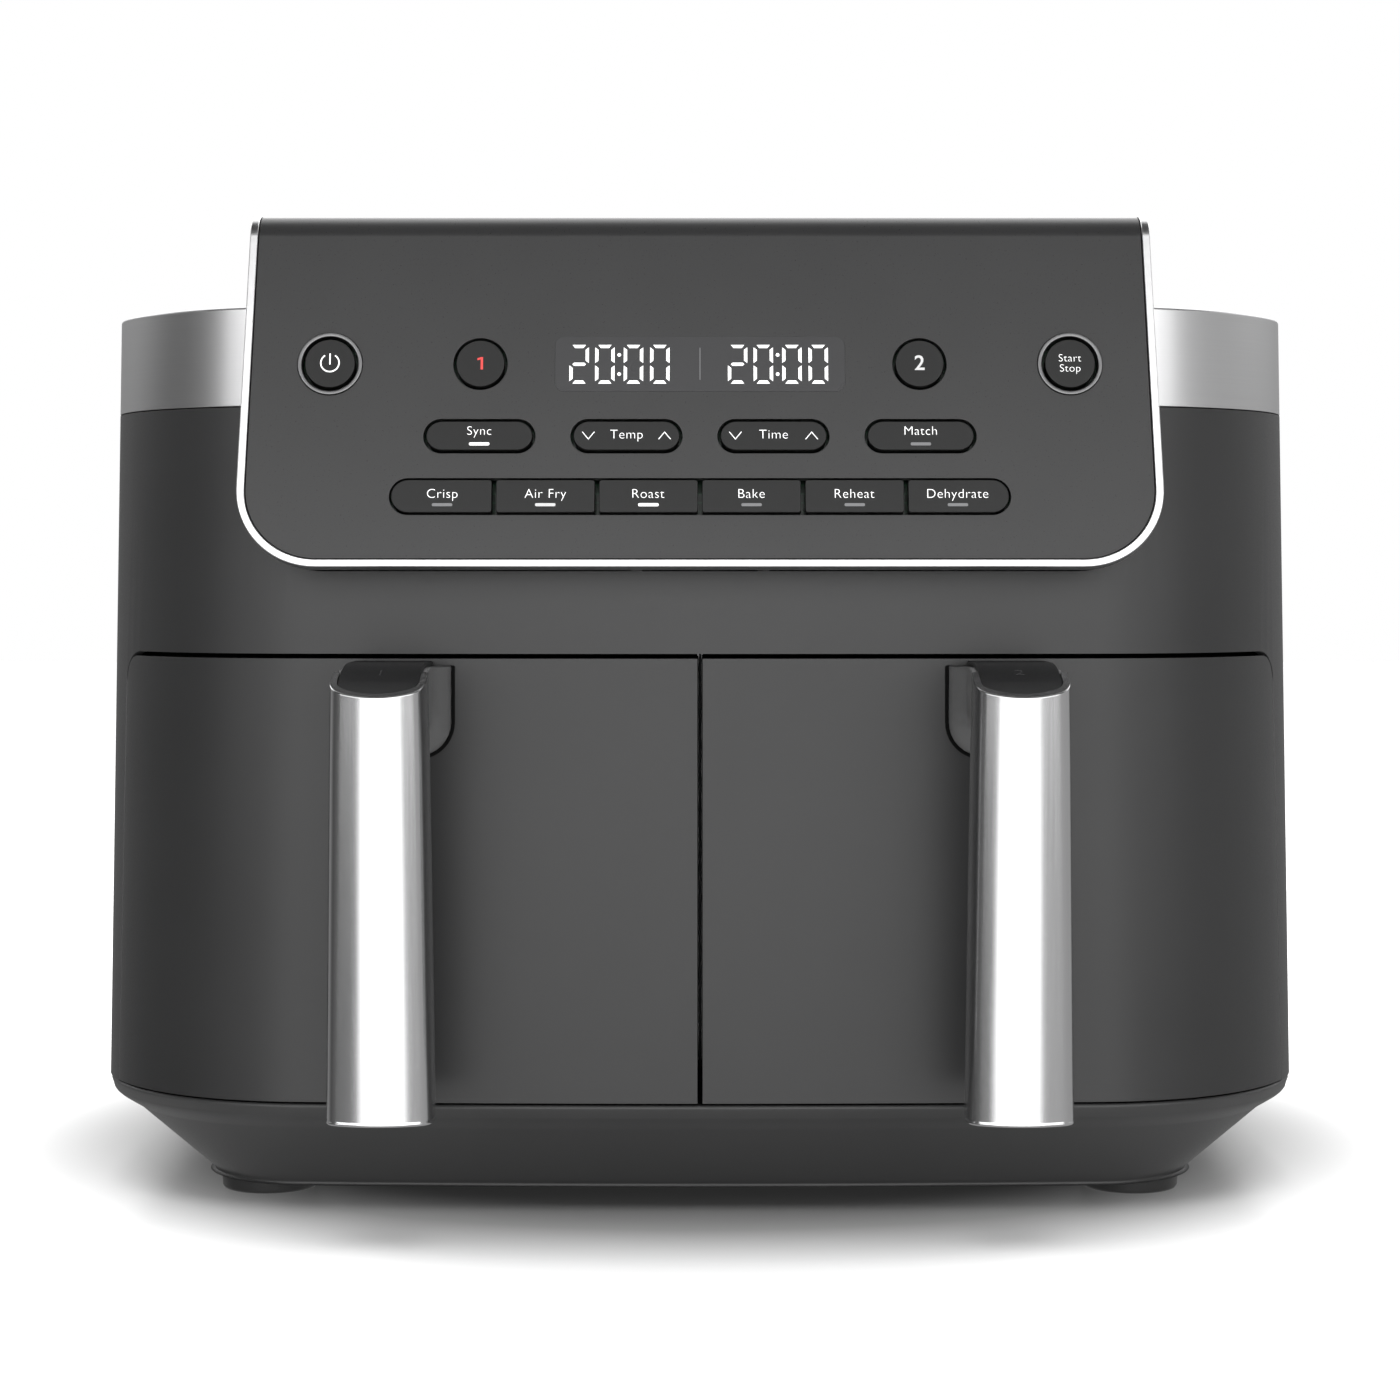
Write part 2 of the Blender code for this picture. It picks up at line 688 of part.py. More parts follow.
def wrap_solid(name, side, insets, levels, start_x, end_y, mat=None, corner=0.0):
    """Curved slab that follows the body's front and corner, between two insets and two levels."""
    columns = []
    for inset in insets:
        low = wrap_path(levels[0], inset, start_x, end_y)
        high = wrap_path(levels[1], inset, start_x, end_y)
        columns.append(list(zip(low, high)))
    rings = []
    total = len(columns[0])
    ends = columns[0][-1][0]
    for i in range(total):
        reach = math.hypot(columns[0][i][0][0] - ends[0], columns[0][i][0][1] - ends[1])
        drop = corner - math.sqrt(corner * corner - (corner - reach) ** 2) if reach < corner else 0.0
        ring = []
        for k, (inset_column, top) in enumerate(((0, False), (0, True), (1, True), (1, False))):
            low, high = columns[inset_column][i]
            x, y = high if top else low
            ring.append((side * x, y, levels[1] - drop if top else levels[0]))
        rings.append(ring)
    return loft(name, rings, mat)


def drawer_front(side, word, mat):
    """Moulded front that wraps round the body's corner: a thin skin with a rim all round its back."""
    front = wrap_solid("%s_drawer_front" % word, side, (0.0, FRONT_T), (DRAWER_LOW, DRAWER_HIGH), CENTRE_GAP,
                       SEAM_Y, mat, DRAWER_CORNER)
    cut(front, wrap_solid("%s_front_pocket" % word, side, (SKIN_T, FRONT_T + 6.0),
                          (DRAWER_LOW + SKIN_T, DRAWER_HIGH - SKIN_T), CENTRE_GAP + SKIN_T, SEAM_Y - SKIN_T))


def drawer_backplate(side, word, mat):
    """Inner cover that closes the drawer front and carries the basket on two bosses."""
    inner = FRONT_T - 0.5
    plate = wrap_solid("%s_drawer_backplate" % word, side, (inner - BACKPLATE_T, inner),
                       (DRAWER_LOW + SKIN_T + GAP, DRAWER_HIGH - SKIN_T - GAP), CENTRE_GAP + SKIN_T + GAP,
                       SEAM_Y - SKIN_T - 2.0, mat)
    for i, x in enumerate((60.0, 115.0)):
        z = 120.0
        y0 = FRONT_Y + inner - 1.0
        ends = sorted((side * (x - 8.0), side * (x + 8.0)))
        low, high = (ends[0], y0, z - 8.0), (ends[1], BASKET_FRONT - GAP, z + 8.0)
        join(plate, box("%s_boss_%d" % (word, i), low, high))


def basket_ring(side, z, inset):
    half = BASKET_HALF - inset
    outline = rounded_rect(BASKET_X - half, BASKET_X + half, BASKET_FRONT + inset, BASKET_BACK - inset,
                           (BASKET_CORNER - inset,) * 4, 4)
    return [(side * x, y, z) for x, y in outline]


def drawer_basket(side, word, mat):
    """Deep tub, open at the top, with a rolled rim and a rounded floor edge."""
    rim = 1.6
    profile = ((BASKET_LOW, 9.0), (BASKET_LOW + 1.6, 5.0), (BASKET_LOW + 6.0, 2.6), (BASKET_HIGH - 3.0, 0.4),
               (BASKET_HIGH - 3.0, -rim), (BASKET_HIGH, -rim), (BASKET_HIGH, 0.4 + BASKET_WALL),
               (BASKET_LOW + 6.6, 2.6 + BASKET_WALL), (BASKET_LOW + 3.2, 6.0),
               (BASKET_LOW + BASKET_WALL, 10.0))
    loft("%s_drawer_basket" % word, [basket_ring(side, z, inset) for z, inset in profile], mat)


def crisper_plate(side, word, mat):
    """Lift-out plate with air slots, standing on four short legs."""
    rings = [basket_ring(side, z, 6.6) for z in (CRISPER_Z, CRISPER_Z + CRISPER_T)]
    plate = loft("%s_crisper_plate" % word, rings, mat)
    leg = ((5.0, BASKET_LOW + BASKET_WALL + GAP), (6.0, CRISPER_Z + 0.5))
    for i, x in enumerate((BASKET_X - 48.0, BASKET_X + 48.0)):
        for j, y in enumerate((-60.0, 62.0)):
            name = "%s_plate_leg_%d%d" % (word, i, j)
            join(plate, turned(name, side * x, y, leg, None, 8, bore=False))
    slots = []
    for i in range(5):
        x = side * (BASKET_X - 44.0 + 22.0 * i)
        for y in (-38.0, 40.0):
            low, high = (x - 2.5, y - 26.0, CRISPER_Z - 5.0), (x + 2.5, y + 26.0, CRISPER_Z + 8.0)
            slots.append(box_rings(low, high))
    cut(plate, group("%s_plate_slots" % word, slots))


# ---------------------------------------------------------------- handles

def handle_half(z):
    t = (z - HANDLE_LOW) / (HANDLE_TOP - HANDLE_LOW)
    return HANDLE_HALF_LOW + (HANDLE_HALF_TOP - HANDLE_HALF_LOW) * t


def handle_top(y):
    """Height of the handle's upper surface: level at the drawer, curving down to the front."""
    reach = max(0.0, HANDLE_TOP_BREAK - y) / (HANDLE_TOP_BREAK - HANDLE_FRONT)
    return HANDLE_TOP - HANDLE_TOP_DROP * reach * reach


def handle_arc(half, inset, back, steps=8):
    """Plan of the handle's front: an arc across, with rounded shoulders running back to y = back."""
    width = half - inset
    radius = width * width / (2.0 * HANDLE_SAG) + HANDLE_SAG / 2.0
    shoulder = HANDLE_SHOULDER - inset * 0.5
    points = []
    top = width - shoulder * 0.8
    for i in range(-steps, steps + 1):
        x = top * i / steps
        points.append((x, HANDLE_FRONT + inset + radius - math.sqrt(radius * radius - x * x)))
    edge_y = points[-1][1]
    edge = [(width - 0.9, edge_y + shoulder * 0.55), (width, edge_y + shoulder * 1.5), (width, back)]
    return [(-x, y) for x, y in reversed(edge)] + points + edge


def handle_pieces(side, word, plastic, steel, cap_mat):
    """Metal cover, plastic core with the arm to the drawer, and the cap over the top."""
    def place(points, z_of):
        return [(side * (HANDLE_X + x), y, z_of(y)) for x, y in points]

    def section(z, inset, back):
        return handle_arc(handle_half(z), inset, back)

    # metal cover: an open channel round the front of the grip
    low = HANDLE_LOW
    ends = []
    for z, z_of in ((low, lambda y: low), (HANDLE_TOP, handle_top)):
        channel = section(z, 0.0, COVER_BACK) + section(z, COVER_T, COVER_BACK)[::-1]
        ends.append(place(channel, z_of))
    loft("%s_handle_cover" % word, ends, steel)

    # plastic core: the grip inside the channel, then the arm to the drawer
    clear = COVER_T + GAP
    core_low = place(section(low, clear, HANDLE_BACK), lambda y: low + 1.0)
    core_top = place(section(HANDLE_TOP, clear, HANDLE_BACK), lambda y: handle_top(y) - CAP_T - GAP)
    core = loft("%s_handle_core" % word, [core_low, core_top], plastic)
    plate_y = FRONT_Y + bow(PLATE_IN) + FLARE * (PLATE_LOW - REF_Z) - GAP
    outer = HANDLE_X + HANDLE_HALF_TOP - clear
    inner = HANDLE_X - HANDLE_HALF_TOP + clear
    # the arm, front to back: y, its two sides in x, and its underside
    stations = (
        (HANDLE_BACK - 6.0, inner, outer, ARM_LOW),
        (HANDLE_BACK, inner, outer, ARM_LOW - 1.0),
        (HANDLE_BACK + 12.0, inner - 0.8, outer, ARM_LOW - 0.6),
        (plate_y - 5.0, PLATE_IN + 1.2, PLATE_OUT - 0.6, ARM_LOW - 4.0),
        (plate_y, PLATE_IN, PLATE_OUT, PLATE_LOW),
    )
    rings = []
    for y, x0, x1, z0 in stations:
        radius = 3.0 + 7.0 * (y - HANDLE_BACK + 6.0) / (plate_y - HANDLE_BACK + 6.0)
        top = handle_top(y) - CAP_T - GAP
        outline = rounded_rect(x0, x1, z0, top, (radius, radius, 0.6, 0.6), 3)
        rings.append([(side * x, y, z) for x, z in outline])
    join(core, loft("%s_handle_arm" % word, rings))

    strip_cap("%s_handle_cap" % word, side, cap_mat, clear, plate_y - 0.6)


def strip_cap(name, side, mat, inset, back):
    """Thin plate over the handle's top, built across its length so that it follows the slope."""
    front = handle_arc(HANDLE_HALF_TOP, inset, back)
    half = HANDLE_HALF_TOP - inset
    stations = [min(y for x, y in front) + 0.6]
    stations += [HANDLE_FRONT + step for step in (3.0, 6.0, 10.0, 16.0, 24.0)]
    stations += [HANDLE_TOP_BREAK, back]
    rings = []
    for y in stations:
        reach = max([abs(x) for x, yy in front if yy <= y + 0.01] + [1.0])
        reach = min(reach, half)
        z = handle_top(y)
        rings.append([(side * (HANDLE_X + x), y, zz) for x, zz in
                      ((-reach, z - CAP_T), (reach, z - CAP_T), (reach, z), (-reach, z))])
    loft(name, rings, mat)


# ---------------------------------------------------------------- cooking zones

def cavity(side, word, mat):
    """Steel liner, open to the front with a flange, and to the dome above."""
    def ring(xs, zs, y, corner):
        outline = rounded_rect(xs[0], xs[1], zs[0], zs[1], (corner,) * 4, 3)
        return [(side * x, y, z) for x, z in outline]

    inner_x = (CAVITY_X[0] + CAVITY_WALL, CAVITY_X[1] - CAVITY_WALL)
    inner_z = (CAVITY_Z[0] + CAVITY_WALL, CAVITY_Z[1] - CAVITY_WALL)
    liner = loft("%s_cavity" % word, [
        ring(CAVITY_X, CAVITY_Z, CAVITY_BACK, CAVITY_CORNER),
        ring(CAVITY_X, CAVITY_Z, CAVITY_FRONT + CAVITY_WALL, CAVITY_CORNER),
        ring(FLANGE_X, FLANGE_Z, CAVITY_FRONT + CAVITY_WALL, 4.0),
        ring(FLANGE_X, FLANGE_Z, CAVITY_FRONT, 4.0),
        ring(inner_x, inner_z, CAVITY_FRONT, CAVITY_CORNER - CAVITY_WALL),
        ring(inner_x, inner_z, CAVITY_BACK - CAVITY_WALL, CAVITY_CORNER - CAVITY_WALL)], mat)
    hole = ((DOME_R - 3.0, 175.0), (DOME_R - 3.0, 200.0))
    cut(liner, turned("%s_dome_hole" % word, side * FAN_X, FAN_Y, hole, None, 20, bore=False))


def heat_shield(side, word, mat):
    """Dome over the cavity's opening that holds the element and the fan."""
    low = CAVITY_Z[1] + GAP
    t = 1.4
    turned("%s_heat_shield" % word, side * FAN_X, FAN_Y,
           ((DOME_R + 8.0, low), (DOME_R + 8.0, low + t), (DOME_R + t, low + t), (DOME_R - 3.0, DOME_HIGH),
            (SHAFT_R + 1.0, DOME_HIGH), (SHAFT_R + 1.0, DOME_HIGH - t), (DOME_R - 4.5, DOME_HIGH - t),
            (DOME_R, low)), mat, 20)


def heating_element(side, word, mat):
    """Sheathed rod wound in a flat spiral, with both ends swept up to the dome."""
    turns, rod, level, rise = 1.75, 3.2, 195.5, 15.0
    count, sides = 28, 5
    rings = []
    for i in range(count + 1):
        t = i / count
        near_end = max(0.0, 1.0 - min(t, 1.0 - t) / 0.09)
        angle = math.tau * turns * t
        centre = Vector((side * (FAN_X + (42.0 + 18.0 * t) * math.cos(angle)),
                         FAN_Y + (42.0 + 18.0 * t) * math.sin(angle), level + rise * near_end * near_end))
        outward = Vector((side * math.cos(angle), math.sin(angle), 0.0))
        up = Vector((0.0, 0.0, 1.0))
        turns_round = [math.tau * k / sides for k in range(sides)]
        rings.append([centre + outward * (rod * math.cos(a)) + up * (rod * math.sin(a)) for a in turns_round])
    loft("%s_heating_element" % word, rings, mat)


def bladed_wheel(name, side, hub, tip, blades, levels, mat, bore):
    """Hub with straight radial blades on a disc; levels are the blade foot, the disc's two faces."""
    thick = 1.0
    star, rim, hole = [], [], []
    for b in range(blades):
        base = math.tau * b / blades
        half_tip = thick / tip
        half_hub = thick / hub
        gap = math.tau / blades
        for radius, angle in ((hub, base - gap / 2.0), (hub, base - half_hub), (tip, base - half_tip),
                              (tip, base + half_tip), (hub, base + half_hub)):
            star.append((radius * math.cos(angle), radius * math.sin(angle)))
            rim.append(((tip + 0.8) * math.cos(angle), (tip + 0.8) * math.sin(angle)))
            hole.append((bore * math.cos(angle), bore * math.sin(angle)))
    z0, z1, z2 = levels
    rings = []
    for outline, z in ((hole, z0), (star, z0), (star, z1), (rim, z1), (rim, z2), (hole, z2)):
        rings.append([(side * FAN_X + x, FAN_Y + y, z) for x, y in outline])
    loft(name, rings, mat, loop=True)


def fan_unit(side, word, steel, aluminium, dark):
    x, y = side * FAN_X, FAN_Y
    bore = SHAFT_R + GAP
    turned("%s_fan_shaft" % word, x, y, ((SHAFT_R, 199.5), (SHAFT_R, 264.0)), steel, 12, bore=False)
    bladed_wheel("%s_convection_fan" % word, side, 10.0, 37.0, 6, (201.5, 209.0, 210.5), aluminium, bore)
    bladed_wheel("%s_cooling_fan" % word, side, 9.0, 34.0, 6, (250.0, 258.0, 259.5), dark, bore)
    turned("%s_fan_motor" % word, x, y,
           ((bore, MOTOR_Z[0] - 1.0), (MOTOR_R + 9.0, MOTOR_Z[0] - 1.0), (MOTOR_R + 9.0, MOTOR_Z[0] + 1.0),
            (MOTOR_R, MOTOR_Z[0] + 1.0), (MOTOR_R, MOTOR_Z[1] - 2.0), (MOTOR_R - 2.0, MOTOR_Z[1]),
            (bore, MOTOR_Z[1])), steel, 16)


def main():
    clear_scene()
    shell_grey = material("shell_grey", (0.089, 0.089, 0.091), 0.42)
    base_grey = material("base_grey", (0.045, 0.045, 0.047), 0.5)
    panel_grey = material("panel_grey", (0.085, 0.085, 0.088), 0.38)
    button_grey = material("button_grey", (0.050, 0.050, 0.052), 0.4)
    black = material("black_plastic", (0.012, 0.012, 0.013), 0.45)
    steel = material("brushed_steel", (0.62, 0.62, 0.63), 0.32, 1.0)
    chrome = material("bright_trim", (0.82, 0.82, 0.83), 0.16, 1.0)
    glass = material("display_glass", (0.02, 0.02, 0.022), 0.08)
    coated = material("non_stick", (0.035, 0.035, 0.037), 0.55, 0.3)
    sheet = material("sheet_steel", (0.45, 0.45, 0.46), 0.4, 1.0)
    alu = material("aluminium", (0.7, 0.7, 0.71), 0.35, 1.0)
    rubber = material("rubber", (0.02, 0.02, 0.02), 0.8)
    board = material("circuit_board", (0.02, 0.12, 0.05), 0.5)

    base_pan(base_grey)
    housing_shell(shell_grey)
    upper_band(steel)
    top_cover(black)
    rear_cover(black)
    cord_outlet(rubber)
    feet(rubber)
    panel_housing(black)
    control_panel(panel_grey)
    hood_strip("panel_trim", 0.0, TRIM_W, -TRIM_D, TRIM_PROUD, HOOD_LENGTH - 4.0, chrome)
    controls(black, button_grey, chrome, glass, board)
    box("power_board", (-62.0, 148.0, 60.0), (62.0, 150.0, 150.0), board)

    for side, word in ((-1, "left"), (1, "right")):
        drawer_front(side, word, shell_grey)
        drawer_backplate(side, word, black)
        drawer_basket(side, word, coated)
        crisper_plate(side, word, coated)
        handle_pieces(side, word, black, steel, black)
        cavity(side, word, sheet)
        heat_shield(side, word, sheet)
        heating_element(side, word, sheet)
        fan_unit(side, word, steel, alu, black)


main()
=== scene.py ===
"""Looks of the two-drawer air fryer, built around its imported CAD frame.

Shapes are worked out in millimetres in the frame's own axes: +X to the right of a person facing
it, +Y to the back, +Z up. add_mesh writes metres.
"""
import json
import math

import bmesh
import bpy
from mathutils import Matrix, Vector

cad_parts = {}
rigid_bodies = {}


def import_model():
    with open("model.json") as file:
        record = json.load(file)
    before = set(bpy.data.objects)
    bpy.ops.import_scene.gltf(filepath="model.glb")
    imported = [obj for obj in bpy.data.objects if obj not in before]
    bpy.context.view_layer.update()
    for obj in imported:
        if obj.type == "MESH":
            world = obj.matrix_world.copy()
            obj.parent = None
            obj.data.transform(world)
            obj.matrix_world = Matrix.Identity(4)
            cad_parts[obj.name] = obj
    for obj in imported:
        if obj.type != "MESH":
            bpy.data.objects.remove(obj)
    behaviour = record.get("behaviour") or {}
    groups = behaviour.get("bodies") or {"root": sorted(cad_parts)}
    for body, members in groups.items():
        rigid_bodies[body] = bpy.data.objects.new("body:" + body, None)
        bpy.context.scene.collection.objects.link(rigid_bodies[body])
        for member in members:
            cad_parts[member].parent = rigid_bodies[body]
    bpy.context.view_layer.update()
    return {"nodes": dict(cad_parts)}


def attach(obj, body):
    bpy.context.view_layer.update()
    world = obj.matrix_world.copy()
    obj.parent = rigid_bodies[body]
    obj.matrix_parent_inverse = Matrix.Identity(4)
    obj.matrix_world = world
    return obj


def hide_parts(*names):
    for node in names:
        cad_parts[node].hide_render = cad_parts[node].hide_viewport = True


MM = 0.001
GAP = 0.3                    # air between neighbouring pieces, as in the frame
QUARTER = math.radians(90.0)
SIDES = ((-1, "left"), (1, "right"))

# Body outline
HALF_WIDTH = 198.5
REF_Z = 41.0
FLARE = 0.0191
FRONT_Y = -121.0
BACK_Y = 176.0
BOW_RADIUS = 2220.0
CORNER_FRONT = 70.6
CORNER_BACK = 52.0
WALL = 2.5

# Levels
FOOT_H = 5.5
BASE_TOP = 34.1
LIP_LOW = 30.8
DRAWER_LOW = 34.8
DRAWER_HIGH = 174.4
FASCIA_LOW = 175.9
BAND_LOW = 253.6
BAND_HIGH = 284.8
PLATEAU = 284.0
HOOD_TOP = 313.5

# Base skirt and feet
BASE_HALF = 160.0
BASE_FRONT = FRONT_Y + 15.0
BASE_BACK = BACK_Y - 15.0
BASE_CORNER = 32.0
FOOT_X = 141.0
FOOT_Y = (("front", -75.0), ("rear", 128.0))
FOOT_R = 16.0
OUTLET = (-100.0, 84.0)     # the cord outlet on the back, as x and z

# Hood and control panel
TILT = math.radians(14.5)
PANEL_Z = 203.0
PANEL_Y = FRONT_Y - 14.9
HOOD_HALF = 143.6
HOOD_TAPER = 0.022
HOOD_CORNER = 25.5
HOOD_ROLL = 9.0
HOOD_FLAT_END = 60.0
HOOD_END = 158.0
HOOD_DROP = 27.0
PANEL_END = -80.0
TRIM_W = 2.5
TRIM_D = 3.5
TRIM_PROUD = 0.6
CHANNEL_D = -TRIM_D - GAP    # what lies under the trim, measured off the panel's face
PANEL_T = 3.0

# Controls, as x and height up the panel
ROW_1 = 65.3
ROW_2 = 41.9
ROW_3 = 22.5
POWER_X = 115.1
ZONE_X = 68.3
PILL_X = (68.3, 22.75)
POWER_HOLE_R = 8.75
BEZEL_R = 10.1
ZONE_HOLE_R = 8.45
PILL_W = 34.7
PILL_H = 11.1
KEYS_HALF = 95.9
KEYS_H = 11.75
KEY_COUNT = 6
KEY_PITCH = 31.77
WINDOW_W = 90.2
WINDOW_H = 17.9
WINDOW_CORNER = 3.0
BUTTON_GAP = 0.6
BUTTON_PROUD = 0.5
BUTTON_BACK = -6.5

# Display digits and printed marks
DIGIT_SEGMENTS = {"0": "abcdef", "2": "abged"}
DIGIT_HALF = 3.02
DIGIT_LOW = 58.85
DIGIT_HIGH = 71.45
DIGIT_STROKE = 1.02
DIGIT_PLACES = (-37.6, -29.6, -20.7, -12.5)
COLON_X = -25.15
CLOCK_SHIFT = 49.3           # from the left clock to the right one
DISPLAY_D = 0.05             # where the clocks' segments stand off the panel's face
PRINT_D = BUTTON_PROUD + 0.02
PRINT_T = 0.04
LETTER_WEIGHT = -0.018
LIGHT_W = 6.3
LIGHT_H = 0.98

# Drawers
CENTRE_GAP = 0.8
SEAM_Y = FRONT_Y + 47.0
FRONT_T = 12.0
SKIN_T = 3.0
BACKPLATE_T = 2.5
DRAWER_CORNER = 9.0
BASKET_X = 92.0
BASKET_HALF = 77.0
BASKET_FRONT = -101.0
BASKET_BACK = 104.0
BASKET_CORNER = 44.0
BASKET_LOW = 39.5
BASKET_HIGH = 166.0
BASKET_WALL = 1.5
CRISPER_Z = 57.0
CRISPER_T = 2.0

# Handles
HANDLE_X = 95.75
HANDLE_HALF_TOP = 14.5
HANDLE_HALF_LOW = 16.2
HANDLE_LOW = 37.0
HANDLE_FRONT = -176.0
HANDLE_BACK = -148.5
HANDLE_SAG = 4.5             # rise of the grip's front arc between its shoulders
HANDLE_SHOULDER = 5.0
HANDLE_TOP = 174.0
HANDLE_TOP_DROP = 9.6
HANDLE_TOP_BREAK = -141.0
COVER_T = 1.0
COVER_BACK = -159.0
ARM_LOW = 152.0
PLATE_LOW = 144.0
PLATE_IN = 77.9
PLATE_OUT = 109.3
CAP_T = 1.6
CAP_SINK = 0.25              # how far the inlay's face lies below the handle's top
NUMBER_Y = -160.5
NUMBER_H = 4.4
SHADE_RIM_EDGE = 1.15           # how far the black sheet of painted shade shows round the arm's foot, standing in for the shadow of the gap

# Cooking zones
CAVITY_FRONT = -58.0
CAVITY_BACK = 118.0
CAVITY_WALL = 1.5
FLANGE_HIGH = 189.5

# Mesh fineness
FRONT_STEPS = 40
CORNER_STEPS = 22
BACK_STEPS = 12
ROUND_STEPS = 56

# Camera, in metres and degrees
CAMERA_PLACE = (0.0, -1.0895, 0.201)
CAMERA_DOWN = 2.33
CAMERA_LENS = 79.87

# Soft surround by compass angle: degrees to the right of the camera's side, and brightness
SURROUND = (
    (-180.0, 0.22), (-130.0, 0.30), (-100.0, 0.08), (-40.0, 0.19), (0.0, 0.38), (40.0, 0.50), (100.0, 0.44),
    (130.0, 0.42), (180.0, 0.22),
)
SKY_FRONT = 0.01
SKY_REAR = 2.0
GROUND = 0.42
# Softboxes far behind the camera: compass angles, elevations and brightness
SOFTBOXES = (("softbox_low", -26.5, 26.0, -14.0, 3.5, 2.5), ("softbox_high", -56.0, 55.0, 3.5, 32.0, 2.5))
SOFTBOX_AWAY = 8.0
SOFTBOX_EYE = 0.2            # the height that the elevations are taken from
OVERHEAD_W = 90.0
OVERHEAD_SIZE = 3.2
OVERHEAD_PLACE = (0.0, 0.35, 2.4)

# Painted contact shadow on the floor: the floor goes over from a darker painted shade into pure white between
# these distances from the middle of the object, in metres
FLOOR_SQUEEZE = (0.86, 1.0, 1.0)
FLOOR_CENTRE = 0.027
FLOOR_PAINTED_SHADOW = 0.13
FLOOR_WHITE = 0.27
FLOOR_SIZE = 6000.0
WHITE = (1.0, 1.0, 1.0, 1.0)


# -------- mesh tools

def add_object(name, data):
    obj = bpy.data.objects.new(name, data)
    bpy.context.scene.collection.objects.link(obj)
    return obj


def add_mesh(name, verts, faces):
    """One object from millimetre vertices, with its faces turned outwards."""
    mesh = bpy.data.meshes.new(name)
    mesh.from_pydata([Vector(v) * MM for v in verts], [], faces)
    work = bmesh.new()
    work.from_mesh(mesh)
    bmesh.ops.recalc_face_normals(work, faces=work.faces)
    work.to_mesh(mesh)
    work.free()
    return add_object(name, mesh)


def loft_faces(rings, loop):
    """Faces of a closed solid through rings: capped at both ends, or looped like a tyre."""
    count = len(rings[0])
    faces = []
    for r in range(len(rings) if loop else len(rings) - 1):
        a = r * count
        b = ((r + 1) % len(rings)) * count
        for i in range(count):
            j = (i + 1) % count
            faces.append((a + i, a + j, b + j, b + i))
    if not loop:
        last = (len(rings) - 1) * count
        faces.append(tuple(range(count - 1, -1, -1)))
        faces.append(tuple(range(last, last + count)))
    return faces


def loft(name, rings, loop=False):
    return add_mesh(name, [point for ring in rings for point in ring], loft_faces(rings, loop))


def group(name, solids):
    """Several separate solids in one mesh."""
    verts, faces = [], []
    for rings in solids:
        start = len(verts)
        verts += [point for ring in rings for point in ring]
        faces += [tuple(start + i for i in face) for face in loft_faces(rings, False)]
    return add_mesh(name, verts, faces)


def prism(outline, levels, side=1):
    """Rings of an upright prism: an (x, y) outline at each z."""
    return [[(side * x, y, z) for x, y in outline] for z in levels]


def prism_y(outline, levels, side=1):
    """Rings of a prism along y: an (x, z) outline at each y."""
    return [[(side * x, y, z) for x, z in outline] for y in levels]


def box_rings(low, high):
    corners = ((low[0], low[1]), (high[0], low[1]), (high[0], high[1]), (low[0], high[1]))
    return prism(corners, (low[2], high[2]))


def box(name, low, high):
    return loft(name, box_rings(low, high))


def apply_modifiers(obj):
    """Replaces the mesh with what its modifiers make of it."""
    graph = bpy.context.evaluated_depsgraph_get()
    mesh = bpy.data.meshes.new_from_object(obj.evaluated_get(graph), depsgraph=graph)
    old = obj.data
    obj.modifiers.clear()
    obj.data = mesh
    bpy.data.meshes.remove(old)
    mesh.name = obj.name


def cut(target, other, operation='DIFFERENCE'):
    """Boolean step with a shape that is then deleted."""
    step = target.modifiers.new("step", 'BOOLEAN')
    step.operation = operation
    step.solver = 'EXACT'
    step.object = other
    bpy.context.view_layer.update()
    apply_modifiers(target)
    mesh = other.data
    bpy.data.objects.remove(other, do_unlink=True)
    bpy.data.meshes.remove(mesh)


def join(target, other):
    cut(target, other, 'UNION')


def merge_flats(obj):
    """Merges faces that lie in one plane, so that bevels run cleanly."""
    work = bmesh.new()
    work.from_mesh(obj.data)
    bmesh.ops.remove_doubles(work, verts=work.verts, dist=2e-6)
    bmesh.ops.dissolve_limit(work, angle_limit=math.radians(0.02), verts=work.verts, edges=work.edges)
    work.to_mesh(obj.data)
    work.free()


def soften(obj, width=0.0, segments=3, angle=30.0):
    """Rounds the sharp edges by width (mm), then shades smooth with flat faces kept flat."""
    if width:
        step = obj.modifiers.new("bevel", 'BEVEL')
        step.width = width * MM
        step.segments = segments
        step.limit_method = 'ANGLE'
        step.angle_limit = math.radians(angle)
        step.miter_outer = 'MITER_ARC'
        step.use_clamp_overlap = True
        apply_modifiers(obj)
    obj.data.shade_smooth()
    obj.data.set_sharp_from_angle(angle=math.radians(38))
    step = obj.modifiers.new("normals", 'WEIGHTED_NORMAL')
    step.keep_sharp = True
    step.weight = 50
    apply_modifiers(obj)


# -------- outline tools

def spaced(start, end, steps):
    """Evenly spaced values, both ends included."""
    return [start + (end - start) * i / steps for i in range(steps + 1)]


def mirrored(right):
    """A line that starts on the middle plane, with its left-hand twin put before it."""
    return [(-x, y) for x, y in reversed(right[1:])] + right


def circle(x, y, radius, count=ROUND_STEPS):
    return [(x + radius * math.cos(math.tau * i / count), y + radius * math.sin(math.tau * i / count))
            for i in range(count)]


def rounded_rect(x0, x1, y0, y1, radii, steps):
    """Outline of a box, counter-clockwise; radii are one number, or four from the low-left corner."""
    if isinstance(radii, float):
        radii = (radii,) * 4
    points = []
    centres = ((x0, y0, 1, 1, 180), (x1, y0, -1, 1, 270), (x1, y1, -1, -1, 0), (x0, y1, 1, -1, 90))
    for (x, y, inward_x, inward_y, start), radius in zip(centres, radii):
        for degrees in spaced(start, start + 90.0, steps):
            angle = math.radians(degrees)
            point = (x + inward_x * radius + radius * math.cos(angle),
                     y + inward_y * radius + radius * math.sin(angle))
            if not points or math.dist(point, points[-1]) > 1e-4:
                points.append(point)
    if math.dist(points[0], points[-1]) < 1e-4:
        points.pop()
    return points


